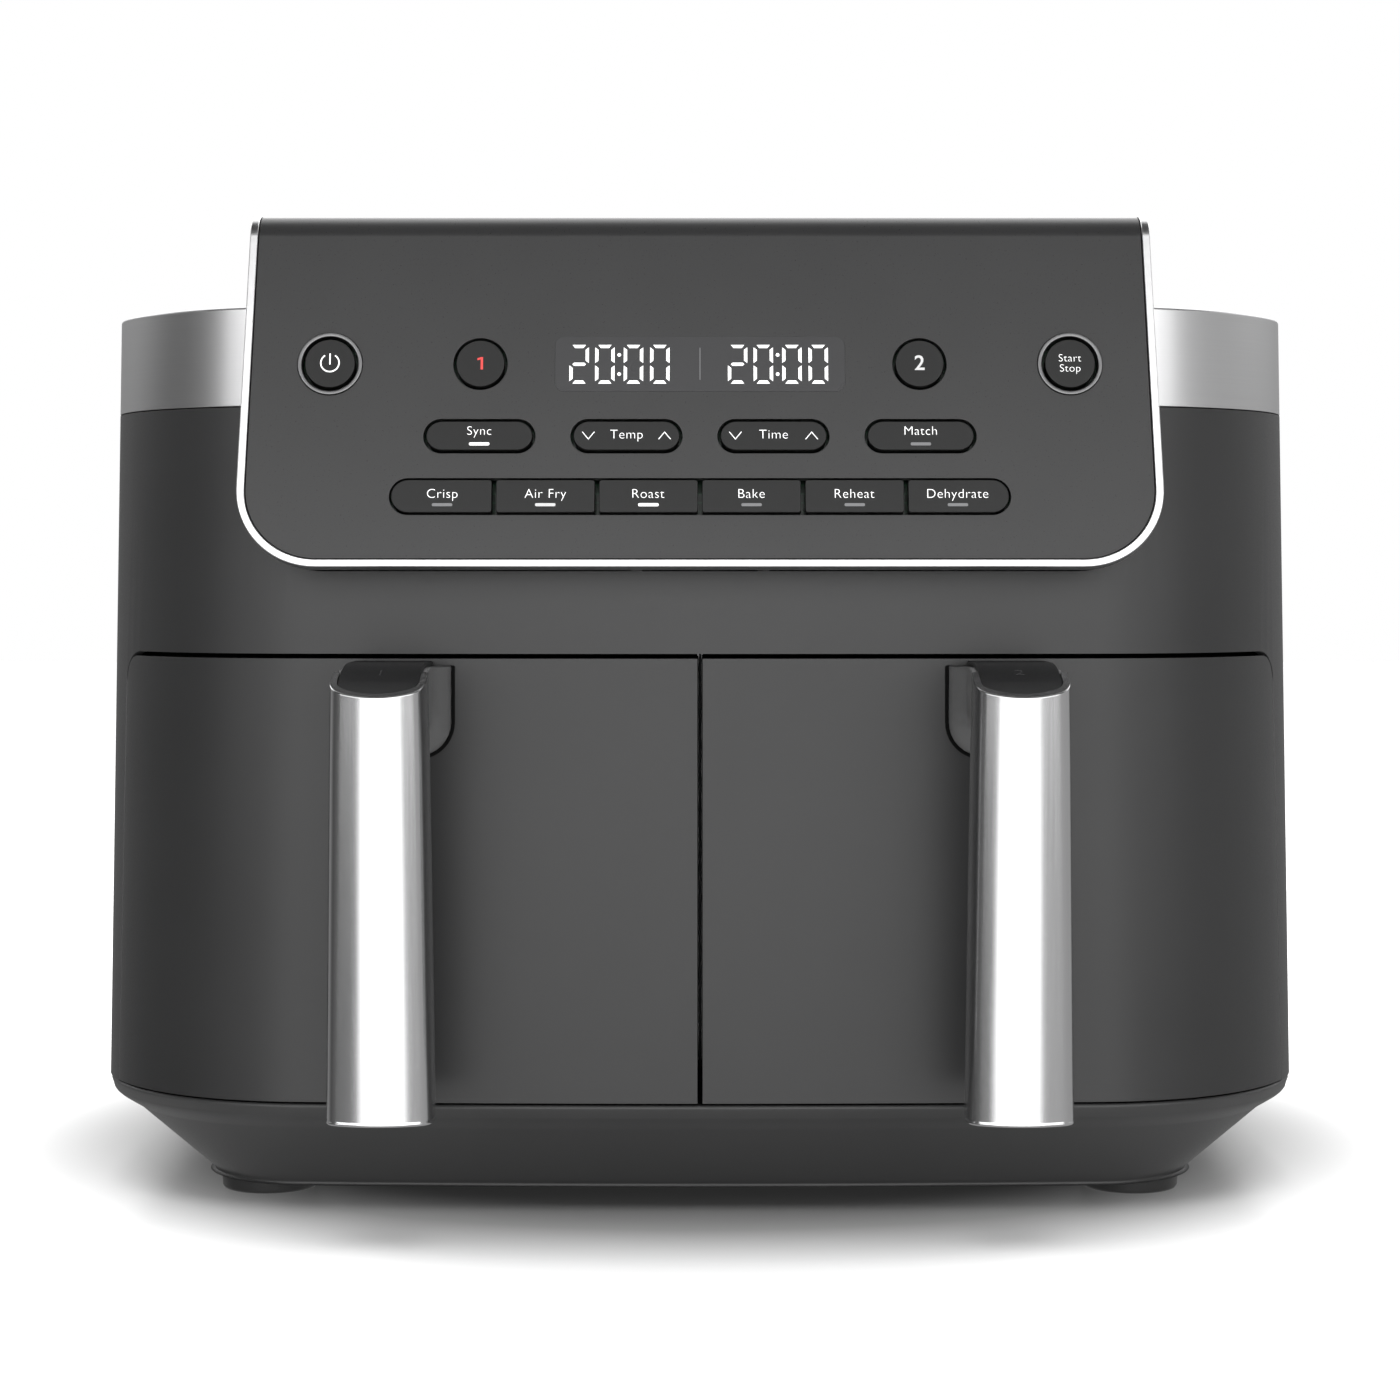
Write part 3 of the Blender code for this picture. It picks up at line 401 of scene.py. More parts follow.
def turned(name, centre, profile, count=ROUND_STEPS, bore=False, rings=prism):
    """Solid turned from (radius, height) points; the axis is upright, or along y with prism_y."""
    made = [rings(circle(*centre, radius, count), (level,))[0] for radius, level in profile]
    return loft(name, made, bore)


def cut_slots(target, boxes, levels, steps=6, rings=prism, side=1):
    """Cuts round-ended slots, given as (x0, x1, y0, y1), through the target."""
    solids = []
    for x0, x1, y0, y1 in boxes:
        outline = rounded_rect(x0, x1, y0, y1, min(x1 - x0, y1 - y0) / 2.0, steps)
        solids.append(rings(outline, levels, side))
    cut(target, group("slots", solids))


def smooth_step(t):
    t = min(1.0, max(0.0, t))
    return t * t * (3.0 - 2.0 * t)


def bezier(a, b, c, d, steps):
    """Points on a cubic curve, both ends included."""
    points = []
    for t in spaced(0.0, 1.0, steps):
        u = 1.0 - t
        points.append(tuple(u * u * u * p + 3 * u * u * t * q + 3 * u * t * t * r + t * t * t * s
                            for p, q, r, s in zip(a, b, c, d)))
    return points


# -------- body outlines

def half_width(z):
    return HALF_WIDTH - FLARE * (z - REF_Z)


def front_y(z):
    return FRONT_Y + FLARE * (z - REF_Z)


def bow(x):
    return x * x / (2.0 * BOW_RADIUS)


def plan_ring(half, front, back, corner, corner_back, z):
    """Closed plan outline with a bowed front: left to right along the front, then round the back."""
    flat = half - corner
    right = []
    for angle in spaced(0.0, QUARTER, CORNER_STEPS)[1:]:
        x = flat + corner * math.sin(angle)
        right.append((x, front + corner - corner * math.cos(angle) + bow(x)))
    for angle in spaced(0.0, QUARTER, BACK_STEPS):
        right.append((half - corner_back + corner_back * math.cos(angle),
                      back - corner_back + corner_back * math.sin(angle)))
    points = [(x, front + bow(x)) for x in spaced(-flat, flat, FRONT_STEPS)] + right
    points += [(-x, y) for x, y in reversed(right)]
    return prism(points, (z,))[0]


def body_ring(z, inset=0.0):
    return plan_ring(half_width(z) - inset, front_y(z) + inset, BACK_Y - inset,
                     CORNER_FRONT - inset, CORNER_BACK - inset, z)


def body_loft(name, profile, loop=False):
    """Solid between body outlines, from (level, inset) pairs."""
    return loft(name, [body_ring(z, inset) for z, inset in profile], loop)


def wrap_path(z, inset, start_x, end_y):
    """Open plan line on the body's right half, from x = start_x round the corner to y = end_y."""
    flat_steps, corner_steps, end_steps, end_share = 24, 30, 8, 0.07
    front = front_y(z) + inset
    corner = CORNER_FRONT - inset
    flat = half_width(z) - inset - corner
    points = [(x, front + bow(x)) for x in spaced(start_x, flat, flat_steps)[:-1]]
    last = math.radians(60.0)
    for _ in range(20):
        x = flat + corner * math.sin(last)
        last = math.acos(max(-1.0, 1.0 - (end_y - front - bow(x)) / corner))
    shares = spaced(0.0, 1.0 - end_share, corner_steps)[:-1]
    shares += [1.0 - end_share * t * t for t in spaced(1.0, 0.0, end_steps)]
    for share in shares:
        angle = last * share
        x = flat + corner * math.sin(angle)
        points.append((x, front + corner - corner * math.cos(angle) + bow(x)))
    return points


# -------- hood and panel frame

def panel_point(x, s, d):
    """x across, s up the panel's face from its lower edge, d outwards from the face."""
    return (x, PANEL_Y + s * math.sin(TILT) - d * math.cos(TILT),
            PANEL_Z + s * math.cos(TILT) + d * math.sin(TILT))


ROLL_START = (HOOD_TOP - PANEL_Z - HOOD_ROLL * (1.0 - math.sin(TILT))) / math.cos(TILT)
ROLL_END = ROLL_START + HOOD_ROLL * (QUARTER - TILT)
ROLL_Y = PANEL_Y + ROLL_START * math.sin(TILT) + HOOD_ROLL * math.cos(TILT)
HOOD_LENGTH = ROLL_END + HOOD_END - ROLL_Y


def hood_point(x, run, d):
    """Like panel_point, but run goes on round the roll, back along the top and down to the rear."""
    if run <= ROLL_START:
        return panel_point(x, run, d)
    if run <= ROLL_END:
        angle = TILT + (run - ROLL_START) / HOOD_ROLL
        reach = HOOD_ROLL + d
        return (x, ROLL_Y - reach * math.cos(angle), HOOD_TOP - HOOD_ROLL + reach * math.sin(angle))
    y = ROLL_Y + run - ROLL_END
    return (x, y, hood_height(y) + d)


def hood_height(y):
    return HOOD_TOP - HOOD_DROP * smooth_step((y - HOOD_FLAT_END) / (HOOD_END - HOOD_FLAT_END))


def hood_half(run):
    return HOOD_HALF - HOOD_TAPER * min(run, ROLL_END)


def run_at(y):
    return ROLL_END + y - ROLL_Y


def run_at_level(z):
    return (z - PANEL_Z) / math.cos(TILT)


def hood_runs(last):
    """Stations along the hood: fine round the lower corner, the roll and the rear slope."""
    runs = [HOOD_CORNER * (1.0 - math.cos(angle)) for angle in spaced(0.0, QUARTER, 20)]
    runs += spaced(ROLL_START, ROLL_END, 14) + spaced(run_at(HOOD_FLAT_END), HOOD_LENGTH, 26)
    return [run for run in runs if run < last - 0.5] + [last]


def hood_edge(inset, last):
    """Right-hand edge of the hood as (x, run) points, from the lower middle round the corner to last."""
    corner = HOOD_CORNER - inset
    points = [(0.0, inset)]
    for run in hood_runs(last):
        if run < HOOD_CORNER:
            angle = math.acos(1.0 - run / HOOD_CORNER)
            points.append((hood_half(run) - HOOD_CORNER + corner * math.sin(angle),
                           HOOD_CORNER - corner * math.cos(angle)))
        else:
            points.append((hood_half(run) - inset, run))
    return points


def hood_strip(name, section, last):
    """U-shaped strip along the hood's edge; section holds (inset, height off the face) points."""
    columns = [[hood_point(x, run, d) for x, run in mirrored(hood_edge(inset, last))]
               for inset, d in section]
    return loft(name, [list(ring) for ring in zip(*columns)])


def panel_rings(outline, depths):
    """Rings of a prism in the panel's frame; depths holds (d, inset) from the back to the front."""
    cx = sum(p[0] for p in outline) / len(outline)
    cs = sum(p[1] for p in outline) / len(outline)
    half_x = max(abs(p[0] - cx) for p in outline)
    half_s = max(abs(p[1] - cs) for p in outline)
    rings = []
    for d, inset in depths:
        kx = (half_x - inset) / half_x
        ks = (half_s - inset) / half_s
        rings.append([panel_point(cx + (x - cx) * kx, cs + (s - cs) * ks, d) for x, s in outline])
    return rings


def pill(x, s, width, height):
    radius = height / 2.0
    return rounded_rect(x - width / 2.0, x + width / 2.0, s - radius, s + radius, radius, 14)


def key_outline(index):
    """One function key; the two outer keys have round outer ends."""
    first, last = index == 0, index == KEY_COUNT - 1
    x0 = -KEYS_HALF if first else key_x(index - 0.5)
    x1 = KEYS_HALF if last else key_x(index + 0.5)
    radius, small = KEYS_H / 2.0 - BUTTON_GAP, 0.8
    left = radius if first else small
    right = radius if last else small
    return rounded_rect(x0 + BUTTON_GAP, x1 - BUTTON_GAP, ROW_3 - radius, ROW_3 + radius,
                        (left, right, right, left), 10)


def key_x(index):
    return KEY_PITCH * (index + 0.5 - KEY_COUNT / 2.0)


# -------- material tools

def add_node(tree, kind, inputs, **settings):
    """Shader node with its settings; each input is a constant, or an output to link from."""
    node = tree.nodes.new("ShaderNode" + kind)
    for key, value in settings.items():
        setattr(node, key, value)
    for key, value in inputs.items():
        if isinstance(value, bpy.types.NodeSocket):
            tree.links.new(value, node.inputs[key])
        else:
            node.inputs[key].default_value = value
    return node


def to_shader(mat, output, socket):
    mat.node_tree.links.new(output, mat.node_tree.nodes["Principled BSDF"].inputs[socket])


def new_material(name, colour, roughness, metallic=0.0, **sockets):
    """Principled material with its constant sockets set directly."""
    mat = bpy.data.materials.new(name)
    mat.use_nodes = True
    sockets.update(Base_Color=(*colour, 1.0), Roughness=roughness, Metallic=metallic)
    for socket, value in sockets.items():
        mat.node_tree.nodes["Principled BSDF"].inputs[socket.replace("_", " ")].default_value = value
    return mat


def object_coordinates(mat, scale=(1000.0,) * 3):
    """The piece's own coordinates, multiplied per axis: 1000 makes one unit a millimetre."""
    place = mat.node_tree.nodes.new("ShaderNodeTexCoord").outputs["Object"]
    return add_node(mat.node_tree, "Mapping", {"Scale": scale, "Vector": place}).outputs["Vector"]


def noise(mat, vector, scale=1.0, detail=2.0):
    inputs = {"Scale": scale, "Detail": detail, "Vector": vector}
    return add_node(mat.node_tree, "TexNoise", inputs).outputs["Fac"]


def spread(mat, factor, low, high):
    """Varies the roughness between low and high by a noise."""
    limits = {"From Min": 0.3, "From Max": 0.7, "To Min": low, "To Max": high, "Value": factor}
    to_shader(mat, add_node(mat.node_tree, "MapRange", limits).outputs["Result"], "Roughness")


def tint(mat, factor, colours, socket="Base Color", ends=(0.3, 0.7)):
    """Blends between two colours by a factor: a noise, or on the floor the fade of the painted shadow."""
    node = add_node(mat.node_tree, "ValToRGB", {"Fac": factor})
    for stop, position, colour in zip(node.color_ramp.elements, ends, colours):
        stop.position = position
        stop.color = (*colour, 1.0)
    to_shader(mat, node.outputs["Color"], socket)


def bump(mat, height, strength, distance_mm):
    inputs = {"Strength": strength, "Distance": distance_mm * MM, "Height": height}
    to_shader(mat, add_node(mat.node_tree, "Bump", inputs).outputs["Normal"], "Normal")


def around(colour, share):
    """A darker and a lighter version of a colour."""
    return [tuple(c * k for c in colour) for k in (1.0 - share, 1.0 + share)]


def plastic(name, colour, roughness, grain_mm=0.45, grain=0.22, **sockets):
    """Moulded plastic: fine spark-eroded grain, with faint cloudiness in colour and gloss."""
    mat = new_material(name, colour, roughness, **sockets)
    near = object_coordinates(mat)
    fine = noise(mat, near, 1.0 / grain_mm, 3.0)
    tint(mat, noise(mat, near, 1.0 / 38.0), around(colour, 0.05))
    spread(mat, fine, roughness - 0.04, roughness + 0.05)
    bump(mat, fine, grain, 0.02)
    return mat


def brushed(name, colour, roughness, stretch, streak=0.05):
    """Brushed metal: streaks that run along the axis with the small stretch value."""
    mat = new_material(name, colour, roughness, 1.0)
    lines = noise(mat, object_coordinates(mat, tuple(1000.0 * k for k in stretch)), 1.0, 4.0)
    tint(mat, lines, around(colour, 0.02))
    spread(mat, lines, roughness - 0.5 * streak, roughness + 0.5 * streak)
    bump(mat, lines, 0.05, 0.005)
    return mat


def glow(name, colour, strength=1.0):
    """Backlit legend or segment, with the slight unevenness of light behind a diffuser."""
    mat = new_material(name, tuple(c * 0.8 for c in colour), 0.45, Emission_Strength=strength)
    cloud = noise(mat, object_coordinates(mat), 0.5, 1.0)
    tint(mat, cloud, around(colour, 0.03), "Emission Color")
    return mat


def non_stick():
    """Baked coating: near-black with fine lighter specks and an orange-peel surface."""
    mat = new_material("non_stick_coating", (0.03, 0.03, 0.032), 0.42)
    near = object_coordinates(mat)
    specks = noise(mat, near, 1.6, 6.0)
    tint(mat, specks, ((0.028, 0.028, 0.030), (0.11, 0.11, 0.115)), ends=(0.62, 0.72))
    peel = noise(mat, near, 0.7)
    spread(mat, peel, 0.34, 0.50)
    bump(mat, peel, 0.25, 0.05)
    return mat


def sheet_steel():
    """Aluminised sheet: soft spangle in colour and gloss."""
    colour = (0.50, 0.50, 0.51)
    mat = new_material("aluminised_sheet", colour, 0.36, 1.0)
    cells = mat.node_tree.nodes.new("ShaderNodeTexVoronoi")
    cells.inputs["Scale"].default_value = 0.16
    mat.node_tree.links.new(object_coordinates(mat), cells.inputs["Vector"])
    tint(mat, cells.outputs["Distance"], around(colour, 0.10))
    spread(mat, cells.outputs["Distance"], 0.28, 0.44)
    bump(mat, noise(mat, object_coordinates(mat, (300.0, 300.0, 2400.0)), 1.0, 3.0), 0.08, 0.02)
    return mat


def circuit_board():
    """Green solder mask with a pattern of copper tracks under it."""
    mat = new_material("circuit_board_mask", (0.006, 0.035, 0.014), 0.4, Coat_Weight=0.2)
    tracks = add_node(mat.node_tree, "TexBrick", {
        "Color1": (0.005, 0.030, 0.012, 1.0), "Color2": (0.006, 0.036, 0.015, 1.0),
        "Mortar": (0.012, 0.075, 0.03, 1.0), "Scale": 0.35, "Mortar Size": 0.03,
        "Vector": object_coordinates(mat)})
    to_shader(mat, tracks.outputs["Color"], "Base Color")
    bump(mat, tracks.outputs["Fac"], 0.2, 0.05)
    return mat


def lens():
    """Smoked, glossy display window."""
    mat = new_material("display_lens_smoke", (0.039, 0.039, 0.041), 0.34)
    spread(mat, noise(mat, object_coordinates(mat), 0.05, 1.0), 0.26, 0.34)
    return mat


def make_materials():
    """One material per finish, keyed by the record's slot or by use."""
    return {
        "shell_plastic": plastic("shell_plastic_grey", (0.0245, 0.0245, 0.025), 0.40),
        "base_plastic": plastic("base_plastic_grey", (0.050, 0.050, 0.0505), 0.42),
        "panel_plastic": plastic("panel_plastic_grey", (0.031, 0.031, 0.0315), 0.31, 0.40, 0.15),
        "button_plastic": plastic("button_plastic_grey", (0.0125, 0.0127, 0.0127), 0.42, 0.35, 0.12,
                                  Specular_IOR_Level=0.38),
        "black_plastic": plastic("black_plastic_grain", (0.012, 0.012, 0.0125), 0.45),
        # Lighter grey than the shell plastic: painted light on the grip and arm, which lie in the handle's own
        # shade.
        "handle_plastic_painted_light": plastic("handle_plastic_grey_painted_light", (0.15, 0.15, 0.151), 0.42),
        "cap_plastic": plastic("cap_plastic_dark", (0.014, 0.014, 0.0145), 0.38),
        "steel_cover": brushed("brushed_steel_upright", (0.62, 0.62, 0.625), 0.22, (6.0, 6.0, 0.02)),
        "steel_band": brushed("brushed_steel_round", (0.67, 0.67, 0.675), 0.34, (0.02, 0.02, 6.0)),
        "bright_trim": brushed("bright_trim_metal", (0.90, 0.90, 0.905), 0.30, (0.4,) * 3, 0.04),
        "bezel_metal": brushed("bezel_metal_satin", (0.22, 0.22, 0.223), 0.36, (2.0,) * 3, 0.06),
        "display_lens": lens(),
        "non_stick": non_stick(),
        "sheet_steel": sheet_steel(),
        "motor_steel": brushed("motor_steel_plate", (0.42, 0.42, 0.43), 0.34, (1.5, 1.5, 0.05)),
        "fan_metal": brushed("fan_aluminium", (0.66, 0.66, 0.67), 0.32, (0.3, 0.3, 4.0)),
        "screw_steel": brushed("screw_steel", (0.35, 0.35, 0.36), 0.32, (1.5,) * 3),
        "rubber": plastic("rubber_black", (0.035,) * 3, 0.45, 0.8, 0.3),
        "gap_shade_black": plastic("gap_shade_black_painted", (0.003,) * 3, 0.8, 0.8, 0.2, Specular_IOR_Level=0.1),
        # Near-black sheet colour: painted shade for the gaps at the drawer seams and round the handle arms'
        # feet.
        "circuit_board": circuit_board(),
        "print_white": glow("legend_white", (0.95,) * 3),
        "print_grey": glow("legend_grey", (0.16, 0.16, 0.165), 0.8),
        "print_pale": glow("legend_pale", (0.50,) * 3),
        "print_faint": plastic("legend_faint", (0.045, 0.045, 0.046), 0.5),
        "print_red": glow("legend_red", (0.60, 0.05, 0.045)),
    }


MATERIALS = {}


def dress(obj, material):
    obj.data.materials.clear()
    obj.data.materials.append(MATERIALS[material])


def piece(obj, body, material, nodes=(), soft=()):
    """Softens a mesh, gives it its material and the body it rides on, and hides the CAD nodes it stands for.
    """
    if soft is not None:
        soften(obj, *soft)
    dress(obj, material)
    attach(obj, body)
    if nodes:
        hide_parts(*nodes)


# -------- housing

def skirt(z, t, inset):
    """Plan outline of the undercut base: t = 0 at the lip, 1 at the floor."""
    def between(lip, floor):
        return lip + (floor - lip) * t

    return plan_ring(between(half_width(LIP_LOW) - 1.0, BASE_HALF) - inset,
                     between(front_y(LIP_LOW) + 1.0, BASE_FRONT) + inset,
                     between(BACK_Y - 1.0, BASE_BACK) - inset,
                     between(CORNER_FRONT, BASE_CORNER) - inset,
                     between(CORNER_BACK, BASE_CORNER - 8.0) - inset, z)


def bay_slab(name, levels):
    """Slab that fills the drawer bay, from the body front back to the cavities."""
    rings = []
    for z in levels:
        rings += prism(mirrored(wrap_path(z, WALL * 0.6, 0.0, CAVITY_FRONT - 0.6)), (z,))
    return loft(name, rings)


def base_pan():
    """Undercut skirt with a rounded shoulder under its lip, a vented floor and the bay's shelf."""
    shoulder = bezier((LIP_LOW, 0.0), (29.0, 0.0), (27.9, 0.11), (25.6, 0.243), 9)
    low = [(FOOT_H, 0.955), (FOOT_H + 0.25, 0.978), (FOOT_H + 0.8, 0.995), (FOOT_H + 1.5, 0.99)]
    rings = [skirt(z, t, 0.0) for z, t in low + shoulder[::-1]]
    rings += [body_ring(BASE_TOP - drop, inset)
              for drop, inset in ((1.2, 0.45), (0.4, 0.6), (0.0, 1.0), (0.0, 0.8 + WALL))]
    rings += [skirt(z + 1.2, t, WALL) for z, t in shoulder[::3]]
    rings.append(skirt(FOOT_H + 3.0, 0.97, WALL))
    pan = loft("base_skirt", rings)
    join(pan, bay_slab("shelf", (BASE_TOP - 2.2, BASE_TOP - 0.002)))
    cut_slots(pan, [(x - 3.0, x + 3.0, 20.0, 90.0) for x in spaced(-60.0, 60.0, 6)], (0.0, 12.0))
    piece(pan, "housing", "base_plastic", ("base_pan",))


def bay_divider():
    """Upright wall between the two cavities, which closes the view through the gap of the fronts."""
    wall = box("bay_divider", (-3.4, CAVITY_FRONT + CAVITY_WALL + 0.5, BASE_TOP + 2.5),
               (3.4, CAVITY_BACK - 4.0, FLANGE_HIGH - 6.0))
    piece(wall, "housing", "black_plastic", soft=(0.4, 2))


def bay_seam_shades():
    """Black sheet on the flange of each cavity, painted shade for the seams: the closed drawer front hides it
    but for the seams.
    """
    outer = rounded_rect(0.5, 189.0, BASE_TOP + 0.6, FASCIA_LOW - 0.2, 3.0, 6)
    opening = rounded_rect(11.0, 178.0, BASKET_LOW - 1.2, BASKET_HIGH + 2.5, 6.0, 6)
    for side, word in SIDES:
        seam_shade = loft("%s_bay_seam_shade" % word, prism_y(outer, (CAVITY_FRONT - 1.3, CAVITY_FRONT - 0.1), side))
        cut(seam_shade, loft("way_in", prism_y(opening, (-70.0, -40.0), side)))
        piece(seam_shade, "housing", "gap_shade_black", soft=(0.2, 2))


def hood_clearance():
    """Volume of the hood's outline, swept straight back through the front wall."""
    ring = [hood_point(x, run, CHANNEL_D) for x, run in mirrored(hood_edge(-GAP, ROLL_START))]
    return loft("opening", [[(x, y + reach, z) for x, y, z in ring] for reach in (-40.0, 70.0)])


def bay_opening():
    """Volume of both drawer fronts, with their round upper corners, swept across the body."""
    outline = rounded_rect(-260.0, SEAM_Y + 0.5, 0.0, FASCIA_LOW, (1.0, 1.0, DRAWER_CORNER + 1.2, 1.0), 14)
    return loft("bay", [[(x, y, z) for y, z in outline] for x in (-260.0, 260.0)])


def housing_shell():
    """Side and back walls with the front fascia above the drawers."""
    low, high = BASE_TOP + GAP, BAND_LOW - GAP
    shell = body_loft("housing_walls", ((low, 0.0), (high, 0.0), (high, WALL), (low, WALL)), True)
    cut(shell, bay_opening())
    join(shell, bay_slab("roof", (FASCIA_LOW + 0.001, FASCIA_LOW + 2.4)))
    cut(shell, hood_clearance())
    cut(shell, box("rear_opening", (-130.0, 150.0, 60.0), (130.0, 200.0, 235.0)))
    piece(shell, "housing", "shell_plastic", ("housing_shell",), soft=(0.7,))


def upper_band():
    low, high = BAND_LOW, BAND_HIGH
    profile = ((low, 0.0), (high - 1.0, 0.0), (high - 0.3, 0.2), (high, 0.8), (high, WALL), (low, WALL))
    band = body_loft("steel_band", profile, True)
    cut(band, hood_clearance())
    piece(band, "housing", "steel_band", ("upper_band",), (0.35, 2))


def panel_housing():
    """Dark channel behind the panel's sides and lower edge."""
    last = run_at_level(BAND_HIGH - 4.0)
    back = FRONT_Y + 24.0
    rings = []
    for outer, inner in zip(*(mirrored(hood_edge(inset, last)) for inset in (GAP, TRIM_W + GAP))):
        a, b = (hood_point(x, run, CHANNEL_D) for x, run in (outer, inner))
        rings.append([a, b, (b[0], back, b[2]), (a[0], back, a[2])])
    piece(loft("panel_channel", rings), "housing", "black_plastic", ("panel_housing",))


def hump(name, inset, low):
    """The hood above the plateau: its side view, spread across its width."""
    d = CHANNEL_D - inset
    points = [(panel_point(0, run_at_level(low), d)[1], low)]
    points += [hood_point(0, run, d)[1:] for run in spaced(ROLL_START, ROLL_END, 14)]
    step = PANEL_END + GAP + inset
    points += [(step, HOOD_TOP + d), (step + 0.01, HOOD_TOP - inset)]
    back = HOOD_END - inset
    for y in [y for y in spaced(HOOD_FLAT_END, HOOD_END, 26) if y < back - 0.5] + [back]:
        points.append((y, max(hood_height(HOOD_END if y == back else y) - inset, low + 0.5)))
    points.append((back, low))
    rings = []
    for side in (-1, 1):
        rings.append([(side * (HOOD_HALF - HOOD_TAPER * max(0.0, z - PANEL_Z) - GAP - inset), y, z)
                      for y, z in points])
    return loft(name, rings)


def top_cover():
    """Lid inside the band with the raised hood over its middle and vents beside it."""
    lid_low, edge = PLATEAU - 2.6, WALL + GAP
    cover = body_loft("lid", ((lid_low, edge), (PLATEAU - 0.6, edge), (PLATEAU, edge + 0.6)))
    y = panel_point(0, run_at_level(PLATEAU), CHANNEL_D)[1]
    cut(cover, box("front", (-HOOD_HALF, -200.0, 260.0), (HOOD_HALF, y + 0.5, 300.0)))
    join(cover, hump("outside", 0.0, lid_low + 0.2))
    cut(cover, hump("inside", 2.4, lid_low - 5.0))
    inner = TRIM_W + GAP
    cut(cover, hood_strip("groove", ((-3.0, 6.0), (inner, 6.0), (inner, CHANNEL_D), (-3.0, CHANNEL_D)),
                          HOOD_LENGTH + 8.0))
    boxes = [(x - 12.0, x + 12.0, y, y + 4.0) for x in (-170.0, 170.0) for y in spaced(40.0, 103.0, 7)]
    cut_slots(cover, boxes, (270.0, 300.0), 5)
    piece(cover, "housing", "black_plastic", ("top_cover",), soft=(0.4, 2, 40.0))


def screw_heads(name, places, to_back):
    """Pan heads with a cross recess, in one mesh; they stand out to the back, or else downwards."""
    radius, height = 3.2, 1.2

    def spot(x, u, v, h):
        return (x, v + h, u) if to_back else (x, u, v - h)

    solids, recess = [], []
    for x, u, v in places:
        solids.append([[spot(px, pu, v, h * height) for px, pu in circle(x, u, r * radius, 20)]
                       for r, h in ((1.0, 0.0), (1.0, 0.45), (0.8, 0.85), (0.45, 1.0))])
        for wide, thin in ((radius * 0.62, 0.42), (0.42, radius * 0.62)):
            ends = spot(x - wide, u - thin, v, height * 0.35), spot(x + wide, u + thin, v, height + 1.0)
            recess.append(box_rings([min(pair) for pair in zip(*ends)], [max(pair) for pair in zip(*ends)]))
    heads = group(name, solids)
    for solid in recess:
        cut(heads, group("recess", [solid]))
    piece(heads, "housing", "screw_steel")


def rear_cover():
    """Back panel with exhaust slots and a round hole for the cord outlet."""
    face = 175.4
    outline = rounded_rect(-130.0 + GAP, 130.0 - GAP, 60.0 + GAP, 235.0 - GAP, 4.0, 6)
    plate = loft("back_plate", prism_y(outline, (172.4, face)))
    boxes = [(x - 44.0, x + 44.0, z, z + 5.0) for x in (-68.0, 68.0) for z in spaced(130.0, 207.0, 7)]
    cut_slots(plate, boxes, (165.0, 185.0), rings=prism_y)
    cut(plate, turned("hole", OUTLET, ((8.0 + GAP, 160.0), (8.0 + GAP, 190.0)), rings=prism_y))
    piece(plate, "housing", "black_plastic", ("rear_cover",), soft=(0.5,))
    places = [(x, z, face - 0.9) for x in (-122.0, 0.0, 122.0) for z in (68.0, 227.0)]
    screw_heads("back_screws", places, True)


def cord_outlet():
    """Bushing with a rounded lip that the mains lead passes through."""
    bushing = turned("outlet_bushing", OUTLET,
                     ((4.0, 164.0), (11.0, 164.0), (11.0, 172.0), (8.0, 172.0), (8.0, 174.9), (7.7, 175.6),
                      (7.0, 175.9), (5.0, 175.9), (4.3, 175.6), (4.0, 174.9)), bore=True, rings=prism_y)
    piece(bushing, "housing", "rubber", ("cord_outlet",), soft=(0.2, 2))


def feet():
    profile = ((5.0, 1.2), (FOOT_R - 5.0, 1.0), (FOOT_R - 4.2, 0.1), (FOOT_R - 1.8, 0.0),
               (FOOT_R - 0.8, 0.35), (FOOT_R - 0.3, 1.1), (FOOT_R, FOOT_H - GAP))
    for row, y in FOOT_Y:
        for side, word in SIDES:
            foot = turned("pad_%s_%s" % (row, word), (side * FOOT_X, y), profile)
            piece(foot, "housing", "rubber", ("foot_%s_%s" % (row, word),))
    places = [(x, y, FOOT_H + 0.5) for x in (-118.0, 118.0) for y in (-84.0, 28.0, 140.0)]
    screw_heads("base_screws", places, False)


# -------- control panel

def window_outline():
    return rounded_rect(-WINDOW_W / 2, WINDOW_W / 2, ROW_1 - WINDOW_H / 2, ROW_1 + WINDOW_H / 2,
                        WINDOW_CORNER, 10)


def control_holes():
    holes = []
    for side in (-1, 1):
        holes += [circle(side * POWER_X, ROW_1, BEZEL_R + 0.1), circle(side * ZONE_X, ROW_1, ZONE_HOLE_R)]
        holes += [pill(side * x, ROW_2, PILL_W, PILL_H) for x in PILL_X]
    holes += [pill(0.0, ROW_3, 2.0 * KEYS_HALF, KEYS_H), window_outline()]
    through = ((-PANEL_T - 2.0, 0.0), (3.0, 0.0))
    return group("control_holes", [panel_rings(outline, through) for outline in holes])


def control_panel():
    """Leaning face with rounded lower corners, rolled over the top as one moulding."""
    section = ((-1, 0), (1, 0), (1, -PANEL_T), (-1, -PANEL_T))
    edge = hood_edge(TRIM_W + GAP, run_at(PANEL_END))[1:]
    panel = loft("panel_face", [[hood_point(side * x, run, d) for side, d in section] for x, run in edge])
    cut(panel, control_holes())
    merge_flats(panel)
    piece(panel, "housing", "panel_plastic", ("control_panel",), soft=(0.12, 2, 50.0))


def panel_trim():
    """Bright strip round the panel with rounded shoulders."""
    r = 0.4
    arc = [(r * math.sin(angle), r * math.cos(angle)) for angle in spaced(0.0, QUARTER, 6)]
    section = [(0.0, -TRIM_D)] + [(r - c, TRIM_PROUD - r + s) for s, c in arc]
    section += [(TRIM_W - r + s, TRIM_PROUD - r + c) for s, c in arc] + [(TRIM_W, -TRIM_D)]
    strip = hood_strip("trim_strip", section, HOOD_LENGTH - 4.0)
    piece(strip, "housing", "bright_trim", ("panel_trim",))


